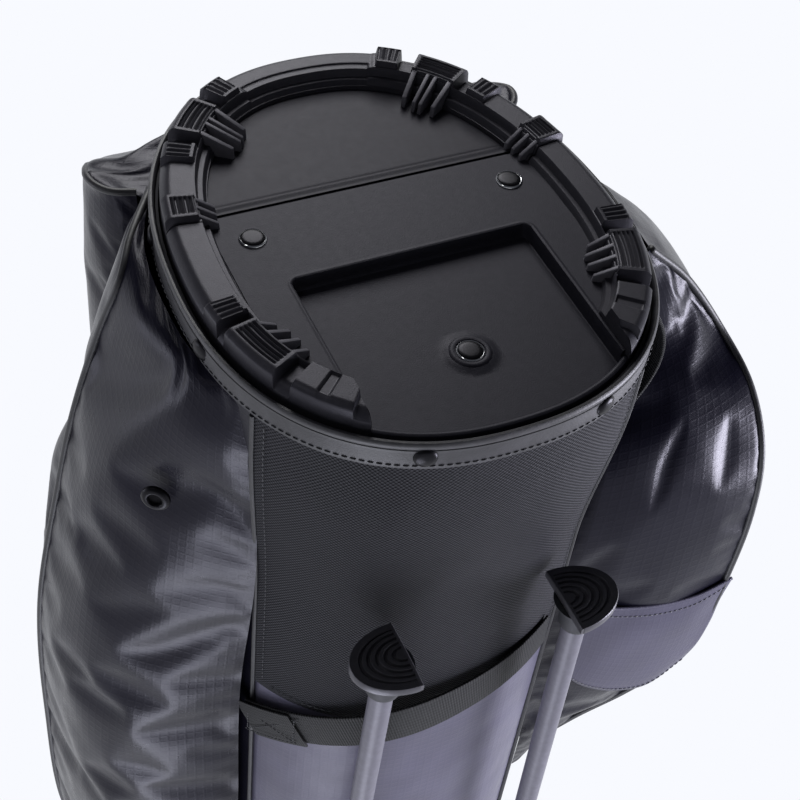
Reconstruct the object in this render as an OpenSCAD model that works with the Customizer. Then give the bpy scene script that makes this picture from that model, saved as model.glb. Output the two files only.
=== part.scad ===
// Golf stand bag: a six-way carry bag with a hinged base plate that drives two folding legs.
// +Z is up, the legs are on the -Y side, and the origin is on the ground at the middle of the base.

/* [Body] */
// Overall height, from the ground to the top of the cuff
bag_h = 880; // [860:5:900]
// Half width of the base moulding
base_hw = 119; // [117:0.5:119]
// Half depth of the base moulding
base_hd = 147.2; // [145:0.5:147.2]
// Half width of the liner above the boot, inside
waist_hw = 114.2; // [113:0.2:115]
// Half depth of the liner above the boot, inside
waist_hd = 136.2; // [135:0.2:137]
// Squareness of the oval: 2 is an ellipse
squareness = 2.28; // [2.2:0.02:2.4]
// How much wider the oval is at the front than at the rear
egg = 0.06; // [0.04:0.01:0.07]

/* [Base] */
// Distance of the hinge slit behind the middle
slit_y = 34.5; // [34:0.5:36]
// Width of the raised rim round the base
rim_w = 25; // [23:1:26]
// Half width of the recess in the base plate
recess_hw = 68.5; // [66:0.5:69]
// Rear edge of the recess
recess_y = -23; // [-26:1:-20]

/* [Legs] */
// Outside diameter of a leg tube
leg_d = 14; // [12:0.5:14]
// Sideways place of a leg pivot
pivot_x = 75; // [73:1:77]
// Sideways place of a foot when the legs are folded
foot_x = 60; // [58:1:62]
// Height of the leg pivots above the underside of the shell
pivot_z = 797; // [790:1:800]
// Place of the legs in front of the middle
leg_y = -157; // [-158:0.5:-156.5]
// Direction in which a leg swings, away from straight ahead
spread = 32; // [28:1:36]

/* [Pockets] */
// Half width over both side pockets
pockets_hw = 212; // [206:1:214]
// Distance from the middle to the rear of the ball pocket and the front of the top handle
reach_y = 200; // [196:1:204]

/* [Hidden] */

// how far the tread stands below the underside of the shell; other heights are measured from the shell
lift = 5;
top_h = bag_h - lift;
skin_gap = 0.2;
liner_t = 1.4;
skin_t = 1.2;
skin_in = liner_t + skin_gap;
skin_out = skin_in + skin_t;
pocket_in = skin_out + 0.3;
skirt_hw = base_hw + 1;
skirt_hd = base_hd + 1;
skirt_z = 62;
waist_z = 160;
tube_z = 12;
tube_top = top_h - 44;
trim_z = [8, 26];
boot_top = 275;
seam_left = -38;
seam_right = 236;
seam_gap = 0.4;
oval_steps = 72;
rim_z = 3;
plate_z = [7, 11];
rear_floor_z = [10, 12];
recess_z = [15, 18];
pin_z = 17;
pin_r = 2;
split_y = 24;
split_x = 92;
rod_y = -129;
rod_d = 6;
rod_top = 792;
rod_foot = 26.6;
leg_tilt = atan((pivot_x - foot_x) / (pivot_z - 172));
leg_len = (pivot_z - 166) / cos(leg_tilt);
handle_slope = 12;
foot_r = 21;
pocket_z = trim_z[1] + 0.4;
zip_normal = 61.7;
zip_at = [165.6, 63.3];
zip_span = [220, 548];
pocket_r = 14;
ball_face = reach_y - 7.7;

function spow(v, e) = sign(v) * pow(abs(v), e);
function oval_points(hw, hd) = [for (i = [0 : oval_steps - 1])
    let (t = 360 * i / oval_steps, y = hd * spow(sin(t), 2 / squareness))
    [hw * spow(cos(t), 2 / squareness) * (1 - egg * y / hd), y]];
// distance from the middle to the oval in direction a, at place y0 on the egg's taper
function reach(hw, hd, a, y0) = pow(pow(abs(cos(a)) / (hw * (1 - egg * y0 / hd)), squareness)
    + pow(abs(sin(a)) / hd, squareness), -1 / squareness);
function wall_reach(off, a) = let (hw = skirt_hw + off, hd = skirt_hd + off, r = reach(hw, hd, a, 0))
    reach(hw, hd, a, r * sin(a));

module oval(hw, hd) { polygon(oval_points(hw, hd)); }

module slab(z0, z1) { translate([0, 0, z0]) linear_extrude(z1 - z0) children(); }

module sector(a0, a1) {
    polygon([[0, 0], for (k = [0 : 8]) let (a = a0 + (a1 - a0) * k / 8) 320 * [cos(a), sin(a)]]);
}

// the tube's solid at a distance outside the liner's inner face
module stack(off) {
    module low() { oval(skirt_hw + off, skirt_hd + off); }
    module high() { oval(waist_hw + off, waist_hd + off); }
    slab(-5, skirt_z) low();
    hull() {
        slab(skirt_z - 0.01, skirt_z) low();
        slab(waist_z, waist_z + 0.01) high();
    }
    slab(waist_z, top_h + 20) high();
}

// the room that the tube takes, in two steps, for what is fitted round it
module core(off) {
    slab(-5, waist_z) oval(skirt_hw + off, skirt_hd + off);
    slab(waist_z, top_h + 20) oval(waist_hw + off, waist_hd + off);
}

module shell(off_in, off_out, z0, z1) {
    intersection() {
        difference() { stack(off_out); stack(off_in); }
        slab(z0, z1) square(600, center = true);
    }
}

module panel(a0, a1, z0, z1) {
    intersection() {
        shell(skin_in, skin_out, z0, z1);
        slab(z0 - 1, z1 + 1) sector(a0 + seam_gap, a1 - seam_gap);
    }
}

module lifted() { translate([0, 0, lift]) children(); }
module both() { children(); mirror([1, 0, 0]) children(); }

// points round a corner of an outline, from angle a0 to a1
arc_steps = 5;
function arc(x, y, r, a0, a1) = [for (k = [0 : arc_steps])
    let (a = a0 + (a1 - a0) * k / arc_steps) [x + r * cos(a), y + r * sin(a)]];

/* tube, skins and trim */
module liner() { color("#1b1b1f") shell(0, liner_t, tube_z, tube_top); }

trim_t = 2.8;
trim_rivet_angles = [-108.5, -71.5, -20, 20, 70, 110, 160, 200];
trim_rivet_z = 18;
trim_rivet_off = 1.4;

module trim_band() { color("#1d1d20") shell(skin_in, skin_in + trim_t, trim_z[0], trim_z[1]); }

module trim_rivets() {
    color("#0d0d10") for (a = trim_rivet_angles) rotate([0, 0, a])
        translate([wall_reach(skin_in + trim_t, a) + trim_rivet_off, 0, trim_rivet_z])
        rotate([0, 90, 0]) cylinder(h = 1.6, r1 = 6, r2 = 4.6, $fn = 32);
}

module boot_panel() { color("#202125") panel(seam_right - 360, seam_left, trim_z[1] + 0.3, boot_top); }
module front_panel() { color("#3a3b44") panel(seam_right - 360, seam_left, boot_top + 0.3, tube_top); }
module left_panel() { color("#23242c") panel(seam_left, 60, trim_z[1] + 0.3, tube_top); }
module spine_panel() { color("#202127") panel(60, 120, trim_z[1] + 0.3, tube_top); }
module right_panel() { color("#23242c") panel(120, seam_right, trim_z[1] + 0.3, tube_top); }

/* top cuff and dividers */
cuff_hw = waist_hw + 6;
cuff_hd = waist_hd + 7;
frame_hw = waist_hw - 4.4;
frame_hd = waist_hd - 4.4;

module cuff() {
    color("#17171a") difference() {
        union() {
            slab(tube_top + 0.3, top_h - 6) oval(cuff_hw, cuff_hd);
            slab(top_h - 6, top_h) oval(cuff_hw - 2, cuff_hd - 2);
        }
        slab(tube_top, top_h + 1) oval(frame_hw + 0.2, frame_hd + 0.2);
    }
}

frame_z = 850;
frame_ring = 3.5;
frame_bar = 7;
cross_y = 43;
module divider_frame() {
    color("#101013") slab(frame_z, top_h - 2) {
        difference() { oval(frame_hw, frame_hd); oval(frame_hw - frame_ring, frame_hd - frame_ring); }
        intersection() {
            oval(frame_hw - 1, frame_hd - 1);
            union() {
                square([frame_bar, 300], center = true);
                for (y = [-cross_y, cross_y]) translate([0, y]) square([300, frame_bar], center = true);
            }
        }
    }
}

// a divider runs from its foot to just under the frame
divider_t = 1.6;
divider_foot = 75;
rear_divider_foot = 165;
module divider(x, y, w, d, foot) {
    color("#2a2b30") translate([x, y, foot]) cube([w, d, frame_z - 0.5 - foot]);
}
module centre_divider() { divider(-divider_t / 2, -118, divider_t, 246, divider_foot); }
module front_divider() { both() divider(1.2, -cross_y - divider_t / 2, 105.4, divider_t, divider_foot); }
module rear_divider() { both() divider(1.2, cross_y - divider_t / 2, 101.4, divider_t, rear_divider_foot); }

module stay_rods() {
    color("#4a4a4e") both() translate([waist_hw - 3.3, 0, divider_foot])
        cylinder(h = tube_top - divider_foot - 5, r = 2.5, $fn = 24);
}

// moulded grab handle across the front of the cuff
module top_handle() {
    color("#151518") difference() {
        slab(846, 868) polygon([[-60, -125], [-56, -178], [-44, -reach_y + 5], [-36, -reach_y],
            [36, -reach_y], [44, -reach_y + 5], [56, -178], [60, -125]]);
        slab(845, 869) polygon([[-44, -100], [-41, -172], [-34, -183], [34, -183], [41, -172], [44, -100]]);
        slab(840, 870) oval(cuff_hw + 0.2, cuff_hd + 0.2);
    }
}

/* base */
module base_region(front) {
    if (front) intersection() {
        oval(base_hw, base_hd);
        union() {
            translate([-split_x, -200]) square([2 * split_x, 200 + slit_y - 0.3]);
            translate([-200, -200]) square([400, 200 + split_y - 0.3]);
        }
    } else difference() {
        oval(base_hw, base_hd);
        translate([-split_x - 0.6, -200]) square([2 * split_x + 1.2, 200 + slit_y + 0.3]);
        translate([-200, -200]) square([400, 200 + split_y + 0.3]);
    }
}

// a barrel on the hinge line with a web down to the floor behind it or the plate in front of it
knuckle_r = 4.5;
knuckle_web = 10;
module knuckle(x0, len, bore, behind) {
    web_y = behind ? slit_y + 1 : slit_y - 1 - knuckle_web;
    difference() {
        union() {
            translate([x0, slit_y, pin_z]) rotate([0, 90, 0]) cylinder(h = len, r = knuckle_r, $fn = 32);
            translate([x0, web_y, plate_z[1]]) cube([len, knuckle_web, pin_z - plate_z[1]]);
        }
        translate([x0 - 1, slit_y, pin_z]) rotate([0, 90, 0]) cylinder(h = len + 2, r = bore, $fn = 32);
    }
}

module base_rear() {
    color("#1a1b1e") {
        slab(rear_floor_z[0], rear_floor_z[1]) base_region(false);
        slab(rear_floor_z[1], 24) difference() {
            base_region(false);
            oval(base_hw - 3, base_hd - 3);
        }
        for (x = [-80, -15, 50]) knuckle(x, 30, pin_r + 0.02, true);
    }
}

module rim_ring() { difference() { oval(base_hw, base_hd); oval(base_hw - rim_w, base_hd - rim_w); } }

module rear_rim() {
    color("#141517") slab(rim_z, rear_floor_z[0] + lift) intersection() { rim_ring(); base_region(false); }
}

module front_rim() {
    color("#141517") slab(rim_z, plate_z[0] + lift) difference() {
        intersection() { rim_ring(); base_region(true); }
        translate([-recess_hw - 1, -200]) square([2 * recess_hw + 2, 180]);
    }
}

// one tread group: blocks between pairs of angles, with prongs that point inwards
module grip(blocks, prongs) {
    slab(0, rim_z) {
        intersection() {
            difference() { oval(base_hw - 1.5, base_hd - 1.5); oval(base_hw - 19, base_hd - 19); }
            union() { for (b = blocks) sector(b[0], b[1]); }
        }
        for (a = prongs) rotate(a) translate([reach(base_hw, base_hd, a, 0) - 34, -2.6]) square([17, 5.2]);
    }
}

rear_blocks = [[37, 43], [47, 60], [64, 70]];
rear_prongs = [48.5, 53.5, 58.5];
hinge_blocks = [[13.5, 24]];
front_blocks = [[-23, -17], [-41, -26], [-58, -45]];
front_prongs = [-39, -33.5, -28];

module grip_rear_left() { color("#0f1012") grip(rear_blocks, rear_prongs); }
module grip_rear_right() { color("#0f1012") mirror([1, 0, 0]) grip(rear_blocks, rear_prongs); }
module grip_hinge_left() { color("#0f1012") grip(hinge_blocks, []); }
module grip_hinge_right() { color("#0f1012") mirror([1, 0, 0]) grip(hinge_blocks, []); }
module grip_front_left() { color("#0f1012") grip(front_blocks, front_prongs); }
module grip_front_right() { color("#0f1012") mirror([1, 0, 0]) grip(front_blocks, front_prongs); }

module hinge_pin() {
    color("#9a9a9e") translate([-82, slit_y, pin_z]) rotate([0, 90, 0])
        cylinder(h = 164, r = pin_r, $fn = 32);
}

module recess_area(grow) {
    translate([-recess_hw - grow, -200]) square([2 * (recess_hw + grow), 200 + recess_y + grow]);
}

rivet_spots = [[-75, 12, plate_z[0]], [75, 12, plate_z[0]], [0, -93.5, recess_z[0]]];

module base_plate() {
    lip = 3.5;
    color("#1c1d20") difference() {
        union() {
            slab(plate_z[0], plate_z[1]) difference() { base_region(true); recess_area(0); }
            slab(plate_z[1], recess_z[1]) difference() {
                intersection() { oval(base_hw, base_hd); recess_area(2.5); }
                recess_area(0);
            }
            slab(recess_z[0], recess_z[1]) intersection() { oval(base_hw, base_hd); recess_area(0.5); }
            slab(9, recess_z[0]) intersection() {
                difference() { oval(base_hw, base_hd); oval(base_hw - lip, base_hd - lip); }
                recess_area(0.5);
            }
            for (x = [-49.6, 15.4]) knuckle(x, 34.2, pin_r + 0.08, false);
        }
        for (p = rivet_spots) translate([p[0], p[1], p[2] - 1]) cylinder(h = 8, r = 3, $fn = 32);
    }
}

module plate_rivets() {
    color("#0a0a0c") for (p = rivet_spots) translate(p) {
        translate([0, 0, -2.3]) cylinder(h = 2.3, r1 = 5.4, r2 = 7.25, $fn = 48);
        cylinder(h = 3, r = 2.98, $fn = 32);
    }
}

// pad with a round cup under the actuator rod, and the rod that the lifting plate pushes up
pad_size = [28, 20.5, 8];
cup_r = 14;
cup_floor = 4;
collar_z = 690;
collar_t = 4;
guide_z = 752;
module push_pad() {
    color("#26272b") translate([0, rod_y, recess_z[1]]) difference() {
        translate([-pad_size[0] / 2, -pad_size[1] / 2, 0]) cube(pad_size);
        translate([0, 0, cup_floor + cup_r]) sphere(r = cup_r, $fn = 96);
    }
}

// rod_foot is the height of the middle of the rod's round end
module actuator_rod() {
    color("#8d8f94") {
        translate([0, rod_y, rod_foot]) {
            cylinder(h = rod_top - rod_foot, r = rod_d / 2, $fn = 48);
            sphere(r = rod_d / 2, $fn = 48);
        }
        translate([0, rod_y, collar_z]) cylinder(h = collar_t, r = 5.5, $fn = 32);
    }
}

module rod_guide() {
    color("#17171a") difference() {
        translate([-9, rod_y - 6.2, guide_z]) cube([18, 14, 10]);
        translate([0, rod_y, guide_z - 1]) cylinder(h = 12, r = rod_d / 2 + 0.3, $fn = 32);
    }
}

module return_spring() {
    color("#b5b7bb") translate([0, rod_y, collar_z + collar_t + 0.3]) difference() {
        cylinder(h = guide_z - collar_z - collar_t - 0.6, r = 5, $fn = 32);
        translate([0, 0, -1]) cylinder(h = guide_z - collar_z, r = 3.7, $fn = 32);
    }
}

/* pockets, as closed soft solids: a plan cut by a profile */
pocket_out = pockets_hw - pocket_r;
rear_corner = concat(arc(pocket_out, 30, pocket_r, 0, zip_normal), arc(120, 72, pocket_r, zip_normal, 90),
    [[95, 72 + pocket_r]]);

module along_y() { translate([0, 160, 0]) rotate([90, 0, 0]) linear_extrude(320) children(); }

module left_pocket() {
    color("#22232f") difference() {
        intersection() {
            slab(pocket_z, 660) polygon(concat([[95, -70 - pocket_r]], arc(118, -70, pocket_r, -90, -58),
                arc(pocket_out, -8, pocket_r, -58, 0), rear_corner));
            along_y() polygon([[90, 24], [134, 24], [168, 110], [pockets_hw + 1, 230],
                [pockets_hw + 1, 540], [116, 652], [90, 652]]);
        }
        core(pocket_in);
    }
}

right_face_y = -118;
module right_pocket() {
    color("#22232f") mirror([1, 0, 0]) difference() {
        intersection() {
            slab(pocket_z, 660) polygon(concat([[86, -98], [108, right_face_y]],
                arc(pocket_out, right_face_y + pocket_r, pocket_r, -90, 0), rear_corner));
            along_y() polygon([[80, 24], [141, 24], [178, 62], [pockets_hw + 1, 130],
                [pockets_hw + 1, 430], [178, 552], [116, 652], [80, 652]]);
            rotate([90, 0, 90]) linear_extrude(260) polygon([[-50, 20], [-60, 116], [-119, 200],
                [-119, 440], [-60, 560], [90, 655], [90, 20]]);
        }
        core(pocket_in);
    }
}

module ball_pocket() {
    far = ball_face - 16;
    color("#1f2026") difference() {
        intersection() {
            slab(30, 387) polygon(concat([[114, 92]], arc(118, 112, 16, -40, 20), arc(84, far, 16, 20, 90),
                arc(-84, far, 16, 90, 160), arc(-118, 112, 16, 160, 220), [[-114, 92]]));
            translate([-150, 0, 0]) rotate([90, 0, 90]) linear_extrude(300)
                polygon([[85, 29], [124, 29], [176, 78], [ball_face + 1, 116], [ball_face + 1, 330],
                    [150, 388], [85, 388]]);
        }
        core(pocket_in);
    }
}

// flap on the front face of the right pocket, its mouth towards the base
module hood_pocket() {
    color("#2a2b36") translate([-204, right_face_y - 2.8, 252]) cube([90, 2.5, 118]);
}

module eyelet() {
    color("#08080a") translate([157, -58, 111]) rotate([0, 90, -55]) difference() {
        cylinder(h = 2, r = 8, $fn = 32);
        translate([0, 0, -1]) cylinder(h = 4, r = 4.2, $fn = 32);
    }
}

/* webbing */
module webbing_handle() {
    color("#131316") intersection() {
        shell(skin_out + 1.2, skin_out + 2.8, 200, 350);
        slab(180, 380) sector(seam_right - 354, seam_left - 4);
        translate([0, 0, 274]) rotate([0, -handle_slope, 0]) cube([420, 420, 32], center = true);
    }
}

loop_x = -113;
loop_y = [-86, -64];
loop_z = [30, 112];
loop_bow = 15;
loop_steps = 16;
// outline of a strip that bows outwards between two heights
function bowed(base, bow, z0, z1) = [for (k = [0 : loop_steps])
    let (t = k / loop_steps) [base - bow * sin(180 * t), z0 + (z1 - z0) * t]];
module webbing_loop() {
    color("#131316") difference() {
        translate([loop_x, loop_y[1], 0]) rotate([90, 0, 0])
            linear_extrude(loop_y[1] - loop_y[0]) difference() {
                polygon(bowed(0, loop_bow + 2.4, loop_z[0], loop_z[1]));
                polygon(bowed(4, loop_bow + 4, loop_z[0] + 3, loop_z[1] - 3));
            }
        stack(pocket_in);
    }
}

module strap_anchors() {
    color("#17171a") difference() {
        for (x = [-strap_x, strap_x], z = [408, 786]) translate([x - 17, 128, z]) cube([34, 16, 16]);
        core(pocket_in);
    }
}

// a padded shoulder strap that stands a little off the spine
strap_x = 45;
strap_w = 44;
strap_z = [426, 784];
strap_steps = 12;
function strap_point(k, base, bow) = [base + bow * sin(180 * k / strap_steps),
    strap_z[0] + (strap_z[1] - strap_z[0]) * k / strap_steps];
module shoulder_strap(x) {
    color("#1c1d22") translate([x - strap_w / 2, 0, 0]) rotate([90, 0, 90]) linear_extrude(strap_w)
        polygon([for (k = [0 : strap_steps]) strap_point(k, 145, 26),
            for (k = [strap_steps : -1 : 0]) strap_point(k, 148, 36)]);
}
module strap_left() { shoulder_strap(strap_x); }
module strap_right() { shoulder_strap(-strap_x); }

/* zips */
module zip_frame_left() { translate([zip_at[0], zip_at[1], 0]) rotate([0, 0, zip_normal]) children(); }
module zip_tape_side() {
    zip_frame_left() translate([0.3, -8, zip_span[0]]) cube([1.2, 16, zip_span[1] - zip_span[0]]);
}
module slider_side() { zip_frame_left() translate([1.9, -4.5, zip_span[1] - 20]) cube([3.6, 9, 14]); }
// a flat tab below a round barrel that turns in the slider's bail; local +X is out of the bag
module pull_tab(top) {
    difference() {
        translate([-0.8, -3.5, top - 37]) cube([1.6, 7, 37]);
        translate([-2, 0, top - 32]) rotate([0, 90, 0]) cylinder(h = 4, r = 1.6, $fn = 24);
        translate([-2, -4, top - 0.9]) cube([4, 8, 2]);
    }
    translate([0, -3.5, top - 0.8]) rotate([-90, 0, 0]) cylinder(h = 7, r = 0.8, $fn = 24);
}
module pull_side() { zip_frame_left() translate([6.9, 0, 0]) pull_tab(zip_span[1] - 8); }
module zip_left() { color("#0c0c0f") zip_tape_side(); }
module zip_right() { color("#0c0c0f") mirror([1, 0, 0]) zip_tape_side(); }
module slider_left() { color("#2b2b2f") slider_side(); }
module slider_right() { color("#2b2b2f") mirror([1, 0, 0]) slider_side(); }
module pull_left() { color("#2b2b2f") pull_side(); }
module pull_right() { color("#2b2b2f") mirror([1, 0, 0]) pull_side(); }

ball_zip_z = 300;
ball_zip_hw = 76;
module zip_ball() {
    color("#0c0c0f") translate([-ball_zip_hw, ball_face + 0.3, ball_zip_z - 8])
        cube([2 * ball_zip_hw, 1.2, 16]);
}
module slider_ball() {
    color("#2b2b2f") translate([-ball_zip_hw + 6, ball_face + 1.9, ball_zip_z - 4.5]) cube([14, 3.6, 9]);
}
module pull_ball() {
    color("#2b2b2f") translate([-ball_zip_hw + 13, ball_face + 6.9, 0]) rotate([0, 0, 90])
        pull_tab(ball_zip_z);
}

/* legs and their hub */
slot_w = 19;
hub_front = 166;
hub_z = [768, 828];
module at_pivot() { translate([pivot_x, leg_y, pivot_z]) rotate([0, 0, spread]) children(); }

module leg_hub() {
    color("#17181b") difference() {
        slab(hub_z[0], hub_z[1]) polygon([[-98, -90], [-107, -145], [-100, -165], [-84, -171],
            [-44, -hub_front], [44, -hub_front], [84, -171], [100, -165], [107, -145], [98, -90]]);
        core(pocket_in);
        both() at_pivot() {
            translate([-slot_w / 2, -60, -40]) cube([slot_w, 72, 52]);
            translate([-24, 0, 0]) rotate([0, 90, 0]) cylinder(h = 48, r = 3.02, $fn = 32);
        }
    }
}

module pivot_pin() {
    at_pivot() translate([-19, 0, 0]) rotate([0, 90, 0]) cylinder(h = 38, r = 3, $fn = 32);
}
module pivot_left() { color("#a6a8ac") pivot_pin(); }
module pivot_right() { color("#a6a8ac") mirror([1, 0, 0]) pivot_pin(); }

module hub_screws() {
    color("#77787c") for (x = [-26, 26], z = [782, 814]) translate([x, -hub_front, z]) rotate([90, 0, 0])
        difference() {
            cylinder(h = 2.4, r1 = 5, r2 = 4, $fn = 32);
            translate([0, 0, 1]) cylinder(h = 2, r = 2, $fn = 6);
        }
}

module along_leg() { translate([pivot_x, leg_y, pivot_z]) rotate([0, leg_tilt, 0]) children(); }

module leg_tube() {
    difference() {
        union() {
            at_pivot() translate([-slot_w / 2 + 0.4, 0, 0]) rotate([0, 90, 0])
                cylinder(h = slot_w - 0.8, r = 8.5, $fn = 40);
            along_leg() translate([0, 0, -leg_len + 28]) cylinder(h = leg_len - 30, r = leg_d / 2, $fn = 40);
        }
        at_pivot() translate([-12, 0, 0]) rotate([0, 90, 0]) cylinder(h = 24, r = 3.08, $fn = 32);
        along_leg() translate([0, 0, -leg_len + 27]) cylinder(h = leg_len - 50, r = leg_d / 2 - 1, $fn = 40);
    }
}
module leg_boot() {
    along_leg() translate([0, 0, -leg_len + 6.5]) {
        difference() {
            cylinder(h = 21.3, r1 = 12, r2 = 9.2, $fn = 40);
            translate([0, 0, 21.5]) cylinder(h = 5, r = leg_d / 2, $fn = 40);
        }
    }
}
// a half disc in front of a straight edge
foot_t = 6;
module foot() {
    edge = -12;
    along_leg() translate([0, 0, -leg_len]) slab(0, foot_t) {
        intersection() {
            translate([1, 0]) circle(r = foot_r, $fn = 64);
            translate([1, -foot_r]) square([30, 2 * foot_r]);
        }
        translate([edge, -foot_r]) square([13.5, 2 * foot_r]);
    }
}
module leg_left() { color("#77797e") leg_tube(); }
module leg_right() { color("#77797e") mirror([1, 0, 0]) leg_tube(); }
module leg_boot_left() { color("#1b1c1f") leg_boot(); }
module leg_boot_right() { color("#1b1c1f") mirror([1, 0, 0]) leg_boot(); }
module foot_left() { color("#101113") foot(); }
module foot_right() { color("#101113") mirror([1, 0, 0]) foot(); }

lifted() liner();
lifted() trim_band();
lifted() trim_rivets();
lifted() boot_panel();
lifted() front_panel();
lifted() left_panel();
lifted() right_panel();
lifted() spine_panel();
lifted() cuff();
lifted() divider_frame();
lifted() centre_divider();
lifted() front_divider();
lifted() rear_divider();
lifted() stay_rods();
lifted() top_handle();
lifted() base_rear();
rear_rim();
grip_rear_left();
grip_rear_right();
grip_hinge_left();
grip_hinge_right();
lifted() hinge_pin();
lifted() left_pocket();
lifted() right_pocket();
lifted() ball_pocket();
lifted() hood_pocket();
lifted() eyelet();
lifted() webbing_handle();
lifted() webbing_loop();
lifted() leg_hub();
lifted() hub_screws();
lifted() pivot_left();
lifted() pivot_right();
lifted() strap_anchors();
lifted() strap_left();
lifted() strap_right();
lifted() zip_left();
lifted() zip_right();
lifted() zip_ball();
lifted() rod_guide();
lifted() return_spring();
lifted() base_plate();
front_rim();
grip_front_left();
grip_front_right();
lifted() plate_rivets();
lifted() push_pad();
lifted() actuator_rod();
lifted() leg_left();
lifted() leg_boot_left();
lifted() foot_left();
lifted() leg_right();
lifted() leg_boot_right();
lifted() foot_right();
lifted() slider_left();
lifted() pull_left();
lifted() slider_right();
lifted() pull_right();
lifted() slider_ball();
lifted() pull_ball();
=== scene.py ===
"""Golf stand bag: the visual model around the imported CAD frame, in millimetres."""
import math
import bmesh
import bpy
import numpy as np
from mathutils import Matrix, Vector, noise


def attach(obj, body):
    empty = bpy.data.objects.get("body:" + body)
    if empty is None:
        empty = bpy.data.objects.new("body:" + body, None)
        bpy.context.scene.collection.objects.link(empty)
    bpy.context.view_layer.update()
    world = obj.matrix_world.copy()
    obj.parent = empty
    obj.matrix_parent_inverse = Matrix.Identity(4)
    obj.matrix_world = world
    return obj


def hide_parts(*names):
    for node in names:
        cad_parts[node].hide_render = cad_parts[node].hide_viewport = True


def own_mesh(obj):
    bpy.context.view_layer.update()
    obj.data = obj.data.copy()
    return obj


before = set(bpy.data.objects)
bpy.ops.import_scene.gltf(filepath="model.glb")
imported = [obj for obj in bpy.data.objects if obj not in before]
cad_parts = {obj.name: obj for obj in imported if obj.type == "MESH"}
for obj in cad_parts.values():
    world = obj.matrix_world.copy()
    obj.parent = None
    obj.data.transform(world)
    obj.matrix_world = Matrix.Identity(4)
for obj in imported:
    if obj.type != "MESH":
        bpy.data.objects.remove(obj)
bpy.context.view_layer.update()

MM = 0.001
LIFT = 5.0                        # the shell's datum above the ground; the heights below start from it
SQUARE, EGG = 2.28, 0.06          # the oval's squareness, and how much wider it is at the front
BASE_HW, BASE_HD = 119.0, 147.2   # half width and half depth of the base moulding
SKIRT = (120.0, 148.2)            # the tube's inner half sizes at the base
WAIST = (114.2, 136.2)            # and above the boot
TAPER_Z = (50.0, 175.0)
SKIN = 3.4                        # from the tube's inner face to the outer fabric
TUBE_TOP = 838.0
SEAM_L, SEAM_R = -38.0, 236.0     # directions of the boot's two side seams
BOOT_TOP = 273.0
FLOOR_FRONT, FLOOR_REAR = 7.0, 10.0
RECESS_Z = 15.0
LEG_Y, PIVOT_X, FOOT_X, PIVOT_Z = -157.0, 75.0, 60.0, 797.0
BALL_FACE = 192.3                 # the ball pocket's flat face, and its zip
BALL_ZIP_X, BALL_ZIP_Z = 74.0, 300.0
ROD_Y = -129.0
RECESS_RIVET_Y = -93.5            # the rivet in the recess; the other two are at RIVET_X, RIVET_Y
RIVET_X, RIVET_Y = 75.0, 12.0
BACK_TOP = {1: 652.0, -1: 606.0}  # top of each side pocket at its rear seam, by side


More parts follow.
